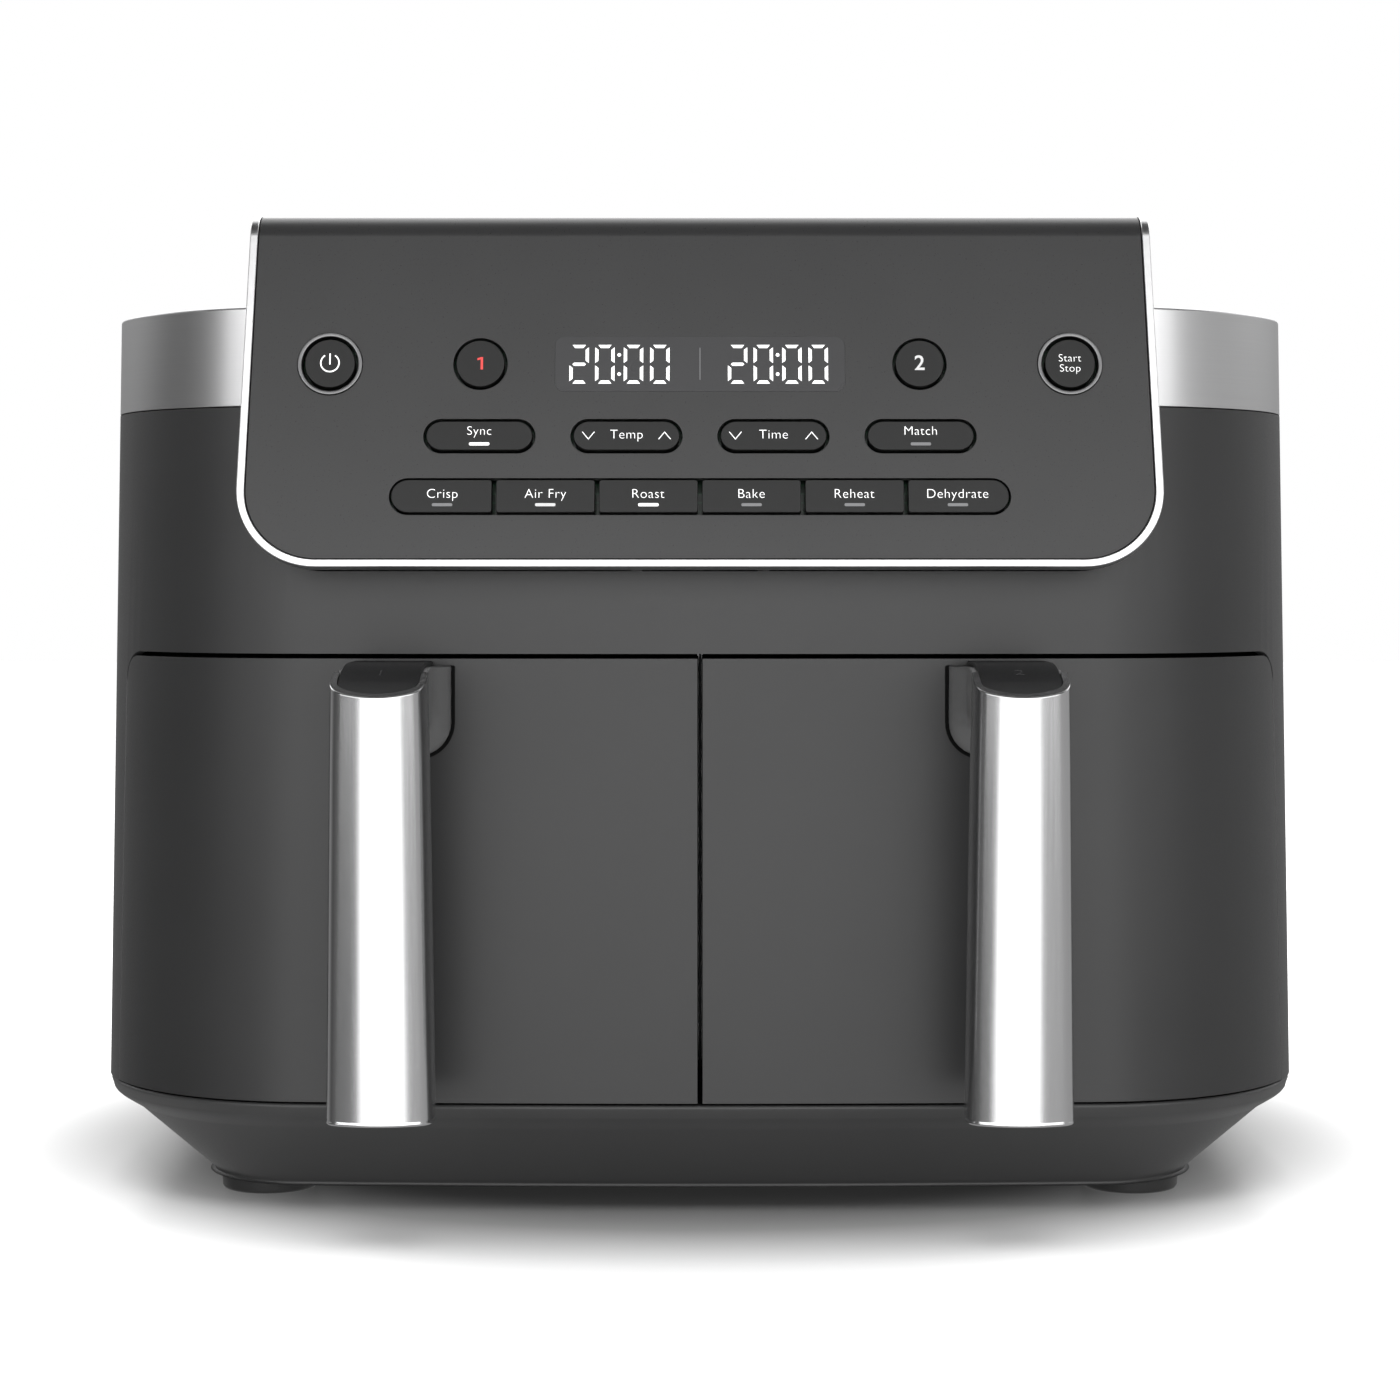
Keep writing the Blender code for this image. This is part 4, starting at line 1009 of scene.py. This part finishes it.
def press_button(node, name, outline, clear=0.38):
    """Key cap with a soft edge, on a narrower stem; it rides on its own body."""
    top = BUTTON_PROUD
    depths = ((BUTTON_BACK, 2.2), (-PANEL_T - 0.5, 2.2), (-PANEL_T - 0.5, clear), (top - 0.3, clear),
              (top - 0.15, clear + 0.03), (top - 0.05, clear + 0.09), (top, clear + 0.2))
    piece(loft(name, panel_rings(outline, depths)), "%s_body" % node, "button_plastic", (node,))


def buttons():
    for word, x, radius in (("power", -POWER_X, POWER_HOLE_R), ("start_stop", POWER_X, POWER_HOLE_R),
                            ("zone_1", -ZONE_X, ZONE_HOLE_R), ("zone_2", ZONE_X, ZONE_HOLE_R)):
        press_button(word + "_button", word + "_cap", circle(x, ROW_1, radius - BUTTON_GAP))
    for word, kind, x in (("sync", "button", -PILL_X[0]), ("temperature", "rocker", -PILL_X[1]),
                          ("time", "rocker", PILL_X[1]), ("match", "button", PILL_X[0])):
        press_button("%s_%s" % (word, kind), word + "_cap",
                     pill(x, ROW_2, PILL_W - 2 * BUTTON_GAP, PILL_H - 2 * BUTTON_GAP))
    for i in range(KEY_COUNT):
        press_button("function_key_%d" % (i + 1), "function_cap_%d" % (i + 1), key_outline(i), 0.1)


def bezels():
    """Satin ring round the power button and the start button."""
    out, hole = BEZEL_R, POWER_HOLE_R
    profile = ((hole, -PANEL_T), (out, -PANEL_T), (out, 0.3), (out - 0.1, 0.45), (out - 0.25, 0.5),
               (hole + 0.4, 0.5), (hole + 0.15, 0.42), (hole, 0.2))
    for word, x in (("power", -POWER_X), ("start", POWER_X)):
        rings = [[panel_point(px, ps, d) for px, ps in circle(x, ROW_1, r, 72)] for r, d in profile]
        ring = loft("%s_ring" % word, rings, True)
        piece(ring, "housing", "bezel_metal", ("%s_bezel" % word,))


def marks(name, outlines, body, material, d=PRINT_D):
    """Flat printed shapes, each a thin prism on the panel's frame."""
    solids = [[[panel_point(x, s, h) for x, s in outline] for h in (d, d + PRINT_T)] for outline in outlines]
    piece(group(name, solids), body, material, soft=None)


def bar(x, s, width, height):
    return rounded_rect(x - width / 2, x + width / 2, s - height / 2, s + height / 2,
                        min(width, height) * 0.42, 4)


def digit(symbol, x):
    """Display segments a to g, each longer along its outer edge than along its inner one."""
    low, high, t = DIGIT_LOW, DIGIT_HIGH, DIGIT_STROKE
    middle = (low + high) / 2.0
    left, right = x - DIGIT_HALF, x + DIGIT_HALF
    corner, mitre, half_gap = 0.95, 0.8, 0.4

    def level(outer, inner):
        return [(left + corner, outer), (right - corner, outer),
                (right - corner - mitre, inner), (left + corner + mitre, inner)]

    def upright(outer, inner, end):
        towards = 1.0 if end > middle else -1.0
        return [(outer, end - towards * 0.8), (outer, middle + towards * half_gap),
                (inner, middle + towards * (half_gap + mitre)), (inner, end - towards * (0.8 + mitre))]

    shapes = {
        "a": level(high, high - t), "d": level(low, low + t),
        "g": [(left + 0.9, middle), (left + 1.45, middle + t / 2), (right - 1.45, middle + t / 2),
              (right - 0.9, middle), (right - 1.45, middle - t / 2), (left + 1.45, middle - t / 2)],
        "f": upright(left, left + t, high), "b": upright(right, right - t, high),
        "e": upright(left, left + t, low), "c": upright(right, right - t, low),
    }
    return [shapes[key] for key in DIGIT_SEGMENTS[symbol]]


def display():
    """Window with two clocks and the thin divider between them."""
    rings = panel_rings(window_outline(), ((-PANEL_T, 0.0), (-0.02, 0.0), (0.03, 0.08)))
    piece(loft("clock_window", rings), "housing", "display_lens", ("display_window",))
    for word, shift in (("left", 0.0), ("right", CLOCK_SHIFT)):
        shapes = []
        for symbol, x in zip("2000", DIGIT_PLACES):
            shapes += digit(symbol, x + shift)
        shapes += [circle(COLON_X + shift, s, 0.58, 14) for s in (61.95, 68.2)]
        marks("clock_%s" % word, shapes, "housing", "print_white", DISPLAY_D)
    marks("clock_divider", [bar(0.0, ROW_1, 0.25, 10.5)], "housing", "print_grey", DISPLAY_D)


def text_mesh(words, weight=LETTER_WEIGHT):
    """Mesh of a word in Blender's built-in font, upright in x and y, with a little thickness."""
    curve = bpy.data.curves.new("words", 'FONT')
    curve.body = words
    curve.align_x = 'CENTER'
    curve.extrude = 0.01
    curve.offset = weight
    curve.space_character = 1.06
    curve.resolution_u = 6
    holder = add_object("words", curve)
    bpy.context.view_layer.update()
    mesh = bpy.data.meshes.new_from_object(holder.evaluated_get(bpy.context.evaluated_depsgraph_get()))
    bpy.data.objects.remove(holder, do_unlink=True)
    bpy.data.curves.remove(curve)
    return mesh


def cap_height():
    mesh = text_mesh("H")
    heights = [v.co.y for v in mesh.vertices]
    bpy.data.meshes.remove(mesh)
    return max(heights) - min(heights)


def stamp(name, mesh, height, middle, place, body, material):
    """Lays a word on a surface, its capitals height tall; place takes (across, up, front or not)."""
    k = height / cap_height()
    mesh.name = name
    for v in mesh.vertices:
        v.co = Vector(place((v.co.x - middle) * k, v.co.y * k, v.co.z > 0.0)) * MM
    piece(add_object(name, mesh), body, material, soft=None)


def label(name, words, x, baseline, height, body, material="print_white", weight=LETTER_WEIGHT):
    """A word printed on a key."""
    mesh = text_mesh(words, weight)
    across = [v.co.x for v in mesh.vertices]

    def on_panel(u, v, front):
        return panel_point(x + u, baseline + v, PRINT_D + (PRINT_T if front else 0.0))

    stamp(name, mesh, height, (min(across) + max(across)) / 2.0, on_panel, body, material)


def legends():
    """Printed and backlit marks; each rides on the key it is printed on."""
    for i, (word, light) in enumerate((("Crisp", "grey"), ("Air Fry", "pale"), ("Roast", "white"),
                                       ("Bake", "grey"), ("Reheat", "grey"), ("Dehydrate", "grey"))):
        x, body = key_x(i), "function_key_%d_body" % (i + 1)
        label("function_word_%d" % (i + 1), word, x, 21.85, 2.75, body)
        marks("function_light_%d" % (i + 1), [bar(x, 19.7, LIGHT_W, LIGHT_H)], body, "print_" + light)
    for node, word, x, light in (("sync", "Sync", -PILL_X[0], "white"),
                                 ("match", "Match", PILL_X[0], "grey")):
        body = node + "_button_body"
        label(node + "_word", word, x, ROW_2 + 0.2, 2.65, body)
        marks(node + "_light", [bar(x, ROW_2 - 2.7, LIGHT_W, LIGHT_H)], body, "print_" + light)
    for node, word, x in (("temperature", "Temp", -PILL_X[1]), ("time", "Time", PILL_X[1])):
        body = node + "_rocker_body"
        label(node + "_word", word, x, ROW_2 - 1.0, 2.75, body)
        arrows = [chevron(x - 11.8, ROW_2, -1), chevron(x + 11.8, ROW_2, 1)]
        marks(node + "_arrows", arrows, body, "print_white")
    marks("zone_number_1", [figure_one(-ZONE_X, ROW_1 - 2.0, 4.0)], "zone_1_button_body", "print_red")
    label("zone_number_2", "2", ZONE_X, ROW_1 - 2.1, 4.35, "zone_2_button_body", "print_pale", 0.012)
    for i, word in enumerate(("Start", "Stop")):
        label("start_stop_word_%d" % (i + 1), word, POWER_X, ROW_1 + 0.6 - 3.3 * i, 2.25,
              "start_stop_button_body")
    marks("power_symbol", power_symbol(-POWER_X, ROW_1), "power_button_body", "print_white")


def figure_one(x, s, height):
    """The figure 1 with a short flag, standing on s."""
    k = height / 4.2
    return [(x + px * k, s + ps * k) for px, ps in (
        (0.1, 0.0), (0.85, 0.0), (0.85, 4.2), (0.2, 4.2), (-1.0, 3.8), (-1.0, 3.15), (0.1, 3.45))]


def chevron(x, s, up):
    half, rise, stroke = 2.0, 1.15, 0.22
    return [(x + px, s + up * ps) for px, ps in (
        (-half, -rise), (stroke - half, -rise - 0.12), (0.0, rise - stroke), (half - stroke, -rise - 0.12),
        (half, -rise), (0.0, rise + 0.18))]


def power_symbol(x, s):
    """Open ring with a bar in its gap."""
    mid, stroke, gap = 2.85, 0.21, 33.0
    angles = [math.radians(degrees) for degrees in spaced(90.0 + gap, 450.0 - gap, 40)]
    outer, inner = ([(x + r * math.cos(a), s + 0.15 + r * math.sin(a)) for a in angles]
                    for r in (mid + stroke, mid - stroke))
    return [outer + inner[::-1], rounded_rect(x - stroke, x + stroke, s - 0.45, s + 3.25, stroke, 4)]


# -------- drawers

def drawer_piece(obj, word, material, node=None, soft=()):
    """A piece that slides with one drawer."""
    piece(obj, "%s_drawer" % word, material, ("%s_%s" % (word, node),) if node else (), soft)


def wrap_solid(name, side, insets, levels, start_x, end_y, corner=0.0):
    """Curved slab that follows the body's front and corner, between two insets and two levels."""
    columns = [list(zip(*(wrap_path(z, inset, start_x, end_y) for z in levels))) for inset in insets]
    end = columns[0][-1][0]
    rings = []
    for front, back in zip(*columns):
        reach = math.dist(front[0], end)
        drop = corner - math.sqrt(corner * corner - (corner - reach) ** 2) if reach < corner else 0.0
        low, high = levels[0], levels[1] - drop
        rings.append([(side * x, y, z) for (x, y), z in (
            (front[0], low), (front[1], high), (back[1], high), (back[0], low))])
    return loft(name, rings)


def drawer_front(side, word):
    front = wrap_solid("%s_front_skin" % word, side, (0.0, FRONT_T), (DRAWER_LOW, DRAWER_HIGH),
                       CENTRE_GAP, SEAM_Y, DRAWER_CORNER)
    cut(front, wrap_solid("pocket", side, (SKIN_T, FRONT_T + 6.0),
                          (DRAWER_LOW + SKIN_T, DRAWER_HIGH - SKIN_T), CENTRE_GAP + SKIN_T, SEAM_Y - SKIN_T))
    drawer_piece(front, word, "shell_plastic", "drawer_front", soft=(0.8, 3, 34.0))


def drawer_backplate(side, word):
    """Inner cover of the drawer front, with the two bosses that carry the basket."""
    inner, edge = FRONT_T - 0.5, SKIN_T + GAP
    plate = wrap_solid("%s_inner_cover" % word, side, (inner - BACKPLATE_T, inner),
                       (DRAWER_LOW + edge, DRAWER_HIGH - edge), CENTRE_GAP + edge, SEAM_Y - SKIN_T - 2.0)
    for x in (60.0, 115.0):
        outline = rounded_rect(x - 8.0, x + 8.0, 112.0, 128.0, 2.5, 5)
        join(plate, loft("boss", prism_y(outline, (FRONT_Y + inner - 1.0, BASKET_FRONT - GAP), side)))
    drawer_piece(plate, word, "black_plastic", "drawer_backplate", soft=(0.5,))


def basket_loft(name, side, profile):
    """Solid between outlines of the basket, from (level, inset) pairs."""
    rings = []
    for z, inset in profile:
        outline = rounded_rect(BASKET_X - BASKET_HALF + inset, BASKET_X + BASKET_HALF - inset,
                               BASKET_FRONT + inset, BASKET_BACK - inset, BASKET_CORNER - inset, 16)
        rings += prism(outline, (z,), side)
    return loft(name, rings)


def drawer_basket(side, word):
    """Deep tub with a rolled rim and a rounded floor edge."""
    low, high, wall = BASKET_LOW, BASKET_HIGH, BASKET_WALL
    profile = [(low, 10.0)] + bezier((low, 8.0), (low, 4.6), (low + 3.0, 2.8), (low + 7.0, 2.55), 8)
    profile += [(high - drop, inset) for drop, inset in (
        (3.2, 0.4), (3.2, -0.6), (2.9, -1.2), (2.0, -1.6), (1.0, -1.55), (0.3, -1.1), (0.0, -0.3),
        (0.1, 0.9), (0.8, 1.7), (2.2, 0.4 + wall))]
    profile += bezier((low + 7.4, 2.55 + wall), (low + 4.0, 2.8 + wall), (low + wall, 5.6),
                      (low + wall, 9.4), 8)
    profile.append((low + wall, 12.0))
    drawer_piece(basket_loft("%s_tub" % word, side, profile), word, "non_stick", "drawer_basket")


def crisper_plate(side, word):
    """Lift-out plate: turned-down edge, rows of slots and four legs."""
    high = CRISPER_Z + CRISPER_T
    plate = basket_loft("%s_plate" % word, side, (
        (CRISPER_Z, 9.0), (CRISPER_Z, 7.6), (CRISPER_Z - 3.0, 7.4), (CRISPER_Z - 3.2, 6.8),
        (high - 1.0, 6.6), (high - 0.3, 6.8), (high, 7.4), (high, 8.5)))
    floor = BASKET_LOW + BASKET_WALL
    leg = ((4.4, floor + GAP), (5.0, floor + 1.0), (6.0, CRISPER_Z + 0.5))
    for x in (BASKET_X - 48.0, BASKET_X + 48.0):
        for y in (-60.0, 62.0):
            join(plate, turned("leg", (side * x, y), leg, 24))
    boxes = []
    for i in range(-5, 6):
        for j in range(-4, 5):
            x, y = 11.0 * i, 18.5 * j + (4.6 if i % 2 else -4.6)
            if math.hypot(max(0.0, abs(x) - 30.0), max(0.0, abs(y) - 55.0)) > 30.0:
                continue
            if math.hypot(abs(x) - 48.0, min(abs(y + 61.5), abs(y - 60.5))) < 11.0:
                continue
            boxes.append((BASKET_X + x - 2.0, BASKET_X + x + 2.0, 1.5 + y - 5.8, 1.5 + y + 5.8))
    cut_slots(plate, boxes, (CRISPER_Z - 5.0, CRISPER_Z + 8.0), 4, side=side)
    piece(plate, "%s_crisper" % word, "non_stick", ("%s_crisper_plate" % word,), soft=(0.25, 2, 50.0))


# -------- handles

def handle_half(z):
    t = (z - HANDLE_LOW) / (HANDLE_TOP - HANDLE_LOW)
    return HANDLE_HALF_LOW + (HANDLE_HALF_TOP - HANDLE_HALF_LOW) * t


def handle_top(y):
    """Height of the handle's upper surface: level at the drawer, curving down to the front."""
    reach = max(0.0, HANDLE_TOP_BREAK - y) / (HANDLE_TOP_BREAK - HANDLE_FRONT)
    return HANDLE_TOP - HANDLE_TOP_DROP * reach * reach


def handle_arc(half, inset, back):
    """Plan of the handle's front: an arc across, with rounded shoulders running back to y = back."""
    width = half - inset
    radius = width * width / (2.0 * HANDLE_SAG) + HANDLE_SAG / 2.0
    shoulder = HANDLE_SHOULDER - inset * 0.5
    points = [(x, HANDLE_FRONT + inset + radius - math.sqrt(radius * radius - x * x))
              for x in spaced(0.0, width - shoulder * 0.8, 24)]
    x0, y0 = points[-1]
    slope = x0 / math.sqrt(radius * radius - x0 * x0)
    end_y = y0 + shoulder * 1.5
    points += bezier((x0, y0), (x0 + 2.4, y0 + 2.4 * slope), (width, end_y - shoulder * 0.75),
                     (width, end_y), 14)[1:]
    return mirrored(points + [(width, back)])


def handle_cover(side, word):
    """Metal channel round the grip, rolled at its lower end and turned in at its top."""
    def ring(z, outer, inner, drop=None):
        half = handle_half(z)
        path = handle_arc(half, outer, COVER_BACK) + handle_arc(half, inner, COVER_BACK)[::-1]
        return [(side * (HANDLE_X + x), y, z if drop is None else handle_top(y) - drop) for x, y in path]

    flank = 0.15
    lip = COVER_T + 1.25
    bead = ((0.0, 0.35), (0.1, 0.14), (0.3, 0.03), (0.6, 0.0), (0.9, 0.04), (1.1, 0.14), (1.5, flank))
    rings = [ring(HANDLE_LOW + rise, outer, COVER_T) for rise, outer in bead]
    rings += [ring(z, flank, COVER_T) for z in spaced(HANDLE_LOW + 4.0, HANDLE_LOW + 122.0, 8)[:-1]]
    rim = ((flank, COVER_T, 3.0), (flank, COVER_T, 1.4), (flank, lip, 1.2), (flank, lip, 0.44),
           (flank, lip, 0.4), (0.19, lip, 0.18), (0.3, lip, 0.04), (0.42, lip - 0.1, 0.0))
    rings += [ring(HANDLE_TOP, outer, inner, drop) for outer, inner, drop in rim]
    drawer_piece(loft("%s_grip_cover" % word, rings), word, "steel_cover", "handle_cover")


def handle_core(side, word):
    """Plastic grip inside the channel, and the arm that widens to its foot on the drawer."""
    clear, lift = COVER_T + 0.05, CAP_T + 0.1
    rings = []
    for rise, extra in ((1.0, 0.9), (1.3, 0.4), (2.0, 0.0), (53.0, 0.0), (103.0, 0.0)):
        z = HANDLE_LOW + rise
        section = handle_arc(handle_half(z), clear + extra, HANDLE_BACK)
        rings.append([(side * (HANDLE_X + x), y, z) for x, y in section])
    rings.append([(side * (HANDLE_X + x), y, handle_top(y) - lift)
                  for x, y in handle_arc(HANDLE_HALF_TOP, clear, HANDLE_BACK)])
    core = loft("%s_grip_core" % word, rings)
    soften(core)

    plate_y = FRONT_Y + bow(PLATE_IN) + FLARE * (PLATE_LOW - REF_Z) - GAP
    outer = HANDLE_X + HANDLE_HALF_TOP - clear
    inner = HANDLE_X - HANDLE_HALF_TOP + clear
    start = HANDLE_BACK - 7.0
    rings = []
    for t in spaced(0.0, 1.0, 26):
        y = start + (plate_y - start) * t
        widen = smooth_step((t - 0.45) / 0.55) ** 1.6
        radius = 3.0 + 7.5 * t
        outline = rounded_rect(inner + (PLATE_IN - inner) * widen, outer + (PLATE_OUT - outer) * widen,
                               ARM_LOW + (PLATE_LOW - ARM_LOW) * widen, handle_top(y) - lift,
                               (radius, radius, 0.6, 0.6), 8)
        rings += prism_y(outline, (y,), side)
    join(core, loft("arm", rings))
    # The grip and arm take the lightened plastic: painted light against the handle's own shade.
    drawer_piece(core, word, "handle_plastic_painted_light", "handle_core", (0.5, 3, 50.0))

    # Black sheet round the arm's foot: painted shade for the gap between the foot and the drawer front.
    radius += SHADE_RIM_EDGE
    outline = rounded_rect(PLATE_IN - SHADE_RIM_EDGE, PLATE_OUT + SHADE_RIM_EDGE, PLATE_LOW - SHADE_RIM_EDGE,
                           handle_top(plate_y) - lift, (radius, radius, 0.6, 0.6), 10)
    flat = [(side * x, plate_y + 0.05, z) for x, z in outline]
    fitted = [(side * x, front_y(z) + bow(x) - 0.04, z) for x, z in outline]
    drawer_piece(loft("%s_arm_shade_rim" % word, [flat, fitted]), word, "gap_shade_black")
    return plate_y


def handle_cap(side, word, plate_y):
    """Dark inlay in the top of the handle, with its number."""
    inset = COVER_T + 1.35
    back = plate_y - 0.6
    right = [(x, y) for x, y in handle_arc(HANDLE_HALF_TOP, inset, back) if x >= 0.0 and y < back - 0.01]
    right += [(HANDLE_HALF_TOP - inset, y)
              for y in (-158.0, -152.0, -146.0, HANDLE_TOP_BREAK, -135.0, -128.0, back)]
    right = sorted({(round(x, 4), round(y, 4)) for x, y in right if x > 0.2}, key=lambda p: p[1])
    edge = 0.3
    rings = []
    for x, y in right:
        z = handle_top(y) - CAP_SINK
        low, half = z - CAP_T + 0.35, x - min(edge, x * 0.5)
        rings.append([(side * (HANDLE_X + px), y, pz) for px, pz in (
            (-x, low), (x, low), (x, z - edge), (half, z), (-half, z), (-x, z - edge))])
    drawer_piece(loft("%s_grip_inlay" % word, rings), word, "cap_plastic", "handle_cap")

    def on_top(u, v, front):
        y = NUMBER_Y + v
        return (side * HANDLE_X + u, y, handle_top(y) - CAP_SINK + (0.06 if front else -0.1))

    mesh = text_mesh("1" if side < 0 else "2")
    middle = sum(v.co.x for v in mesh.vertices) / len(mesh.vertices)
    stamp("%s_grip_number" % word, mesh, NUMBER_H, middle, on_top, "%s_drawer" % word, "print_faint")


# -------- cooking zones

def dress_cad_nodes(nodes):
    """The frame's own solids inside the housing keep their shape and get their finish."""
    for _, word in SIDES:
        for part, material in (
                ("cavity", "sheet_steel"), ("heat_shield", "sheet_steel"), ("cooling_fan", "black_plastic"),
                ("heating_element", "motor_steel"), ("fan_shaft", "motor_steel"), ("fan_motor", "motor_steel"),
                ("convection_fan", "fan_metal")):
            dress(nodes["%s_%s" % (word, part)], material)
    for name in ("control_board", "power_board"):
        dress(nodes[name], "circuit_board")


# -------- stage

def make_camera():
    camera = bpy.data.cameras.new("camera")
    camera.lens = CAMERA_LENS
    camera.sensor_width = 36.0
    camera.dof.use_dof = False
    holder = add_object("camera", camera)
    holder.location = CAMERA_PLACE
    holder.rotation_euler = (math.radians(90.0 - CAMERA_DOWN), 0.0, 0.0)
    bpy.context.scene.camera = holder


def make_world():
    """White to the camera; for light, a soft surround, lighter to the right and above the back."""
    world = bpy.data.worlds.new("studio")
    bpy.context.scene.world = world
    world.use_nodes = True
    tree = world.node_tree
    tree.nodes.clear()

    def ease(value, start, end):
        return add_node(tree, "MapRange", {"From Min": start, "From Max": end, "Value": value},
                        interpolation_type='SMOOTHSTEP').outputs["Result"]

    def math_node(operation, a, b):
        return add_node(tree, "Math", {0: a, 1: b}, operation=operation).outputs[0]

    def blend(factor, low, high):
        return add_node(tree, "Mix", {0: factor, 2: low, 3: high}).outputs[0]

    direction = tree.nodes.new("ShaderNodeTexCoord").outputs["Generated"]
    x, y, z = add_node(tree, "SeparateXYZ", {0: direction}).outputs
    turn = math_node('ARCTAN2', x, math_node('MULTIPLY', y, -1.0))
    share = math_node('ADD', math_node('DIVIDE', turn, math.tau), 0.5)
    ramp = add_node(tree, "ValToRGB", {"Fac": share})
    stops = ramp.color_ramp.elements
    stops.remove(stops[1])
    stops[0].position = 0.0
    stops[0].color = (SURROUND[0][1],) * 3 + (1.0,)
    for angle, level in SURROUND[1:]:
        stops.new(angle / 360.0 + 0.5).color = (level, level, level, 1.0)

    lower = blend(ease(z, -0.5, -0.2), GROUND, ramp.outputs["Color"])
    front = blend(ease(z, 0.42, 0.6), lower, SKY_FRONT)
    rear = blend(ease(z, 0.12, 0.35), lower, SKY_REAR)
    studio = blend(ease(y, 0.0, 0.5), front, rear)
    seen = tree.nodes.new("ShaderNodeLightPath").outputs["Is Camera Ray"]
    background = add_node(tree, "Background", {"Color": WHITE, "Strength": blend(seen, studio, 1.0)})
    add_node(tree, "OutputWorld", {0: background.outputs[0]})


def area_light(name, shape, size, place):
    light = bpy.data.lights.new(name, 'AREA')
    light.shape = shape
    light.size = size
    holder = add_object(name, light)
    holder.location = place
    holder.visible_camera = False
    return holder, light


def make_softboxes():
    """Flat lights behind the camera that show as broad reflections."""
    for name, left, right, low, high, brightness in SOFTBOXES:
        x0, x1, z0, z1 = (SOFTBOX_AWAY * math.tan(math.radians(angle)) for angle in (left, right, low, high))
        place = ((x0 + x1) / 2.0, -SOFTBOX_AWAY, SOFTBOX_EYE + (z0 + z1) / 2.0)
        holder, light = area_light(name, 'RECTANGLE', x1 - x0, place)
        light.size_y = z1 - z0
        light.energy = brightness * math.pi * light.size * light.size_y
        holder.rotation_euler = (QUARTER, 0.0, 0.0)
        holder.visible_diffuse = False


def make_overhead():
    """Large soft light above, which brightens the floor and leaves no reflection."""
    holder, light = area_light("overhead", 'DISK', OVERHEAD_SIZE, OVERHEAD_PLACE)
    light.energy = OVERHEAD_W
    holder.visible_glossy = False


def make_floor():
    """Wide white sweep with a faint gloss and a painted contact shadow: darker colour near the object, and a
    glow that whitens it further out.
    """
    corners = [(x * FLOOR_SIZE, y * FLOOR_SIZE, 0.0) for x, y in ((-1, -1), (1, -1), (1, 1), (-1, 1))]
    floor = add_mesh("floor", corners, [(0, 1, 2, 3)])
    mat = new_material("floor_white_painted_shadow", (0.93,) * 3, 0.22, Specular_IOR_Level=0.2, Emission_Color=WHITE)
    place = object_coordinates(mat, FLOOR_SQUEEZE)
    place.node.inputs["Location"].default_value = (0.0, -FLOOR_CENTRE, 0.0)
    away = add_node(mat.node_tree, "VectorMath", {0: place}, operation='LENGTH')
    # Painted shadow fade: 0 close round the object, 1 where the floor turns pure white.
    reach = add_node(mat.node_tree, "MapRange", {
        "From Min": FLOOR_PAINTED_SHADOW, "From Max": FLOOR_WHITE, "Value": away.outputs["Value"]}).outputs["Result"]
    # Glow that whitens the floor away from the object and leaves the painted shadow near it.
    lift = add_node(mat.node_tree, "MapRange", {"From Max": 1.0, "To Max": 0.5, "Value": reach},
                    interpolation_type='SMOOTHSTEP')
    to_shader(mat, lift.outputs["Result"], "Emission Strength")
    # Painted shadow: the floor's colour darkens from white to grey towards the object.
    tint(mat, reach, ((0.40,) * 3, (0.93,) * 3))
    floor.data.materials.append(mat)
    floor.visible_glossy = False


def main():
    for obj in list(bpy.data.objects):
        bpy.data.objects.remove(obj, do_unlink=True)
    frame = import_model()
    bpy.context.scene.view_settings.view_transform = 'Standard'
    MATERIALS.update(make_materials())

    for build in (base_pan, housing_shell, bay_divider, bay_seam_shades, upper_band, panel_housing, top_cover,
                  rear_cover, cord_outlet, feet, control_panel, panel_trim, buttons, bezels, display,
                  legends):
        build()
    for side, word in SIDES:
        for build in (drawer_front, drawer_backplate, drawer_basket, crisper_plate, handle_cover):
            build(side, word)
        handle_cap(side, word, handle_core(side, word))
    dress_cad_nodes(frame["nodes"])

    for build in (make_floor, make_softboxes, make_overhead, make_world, make_camera):
        build()


main()
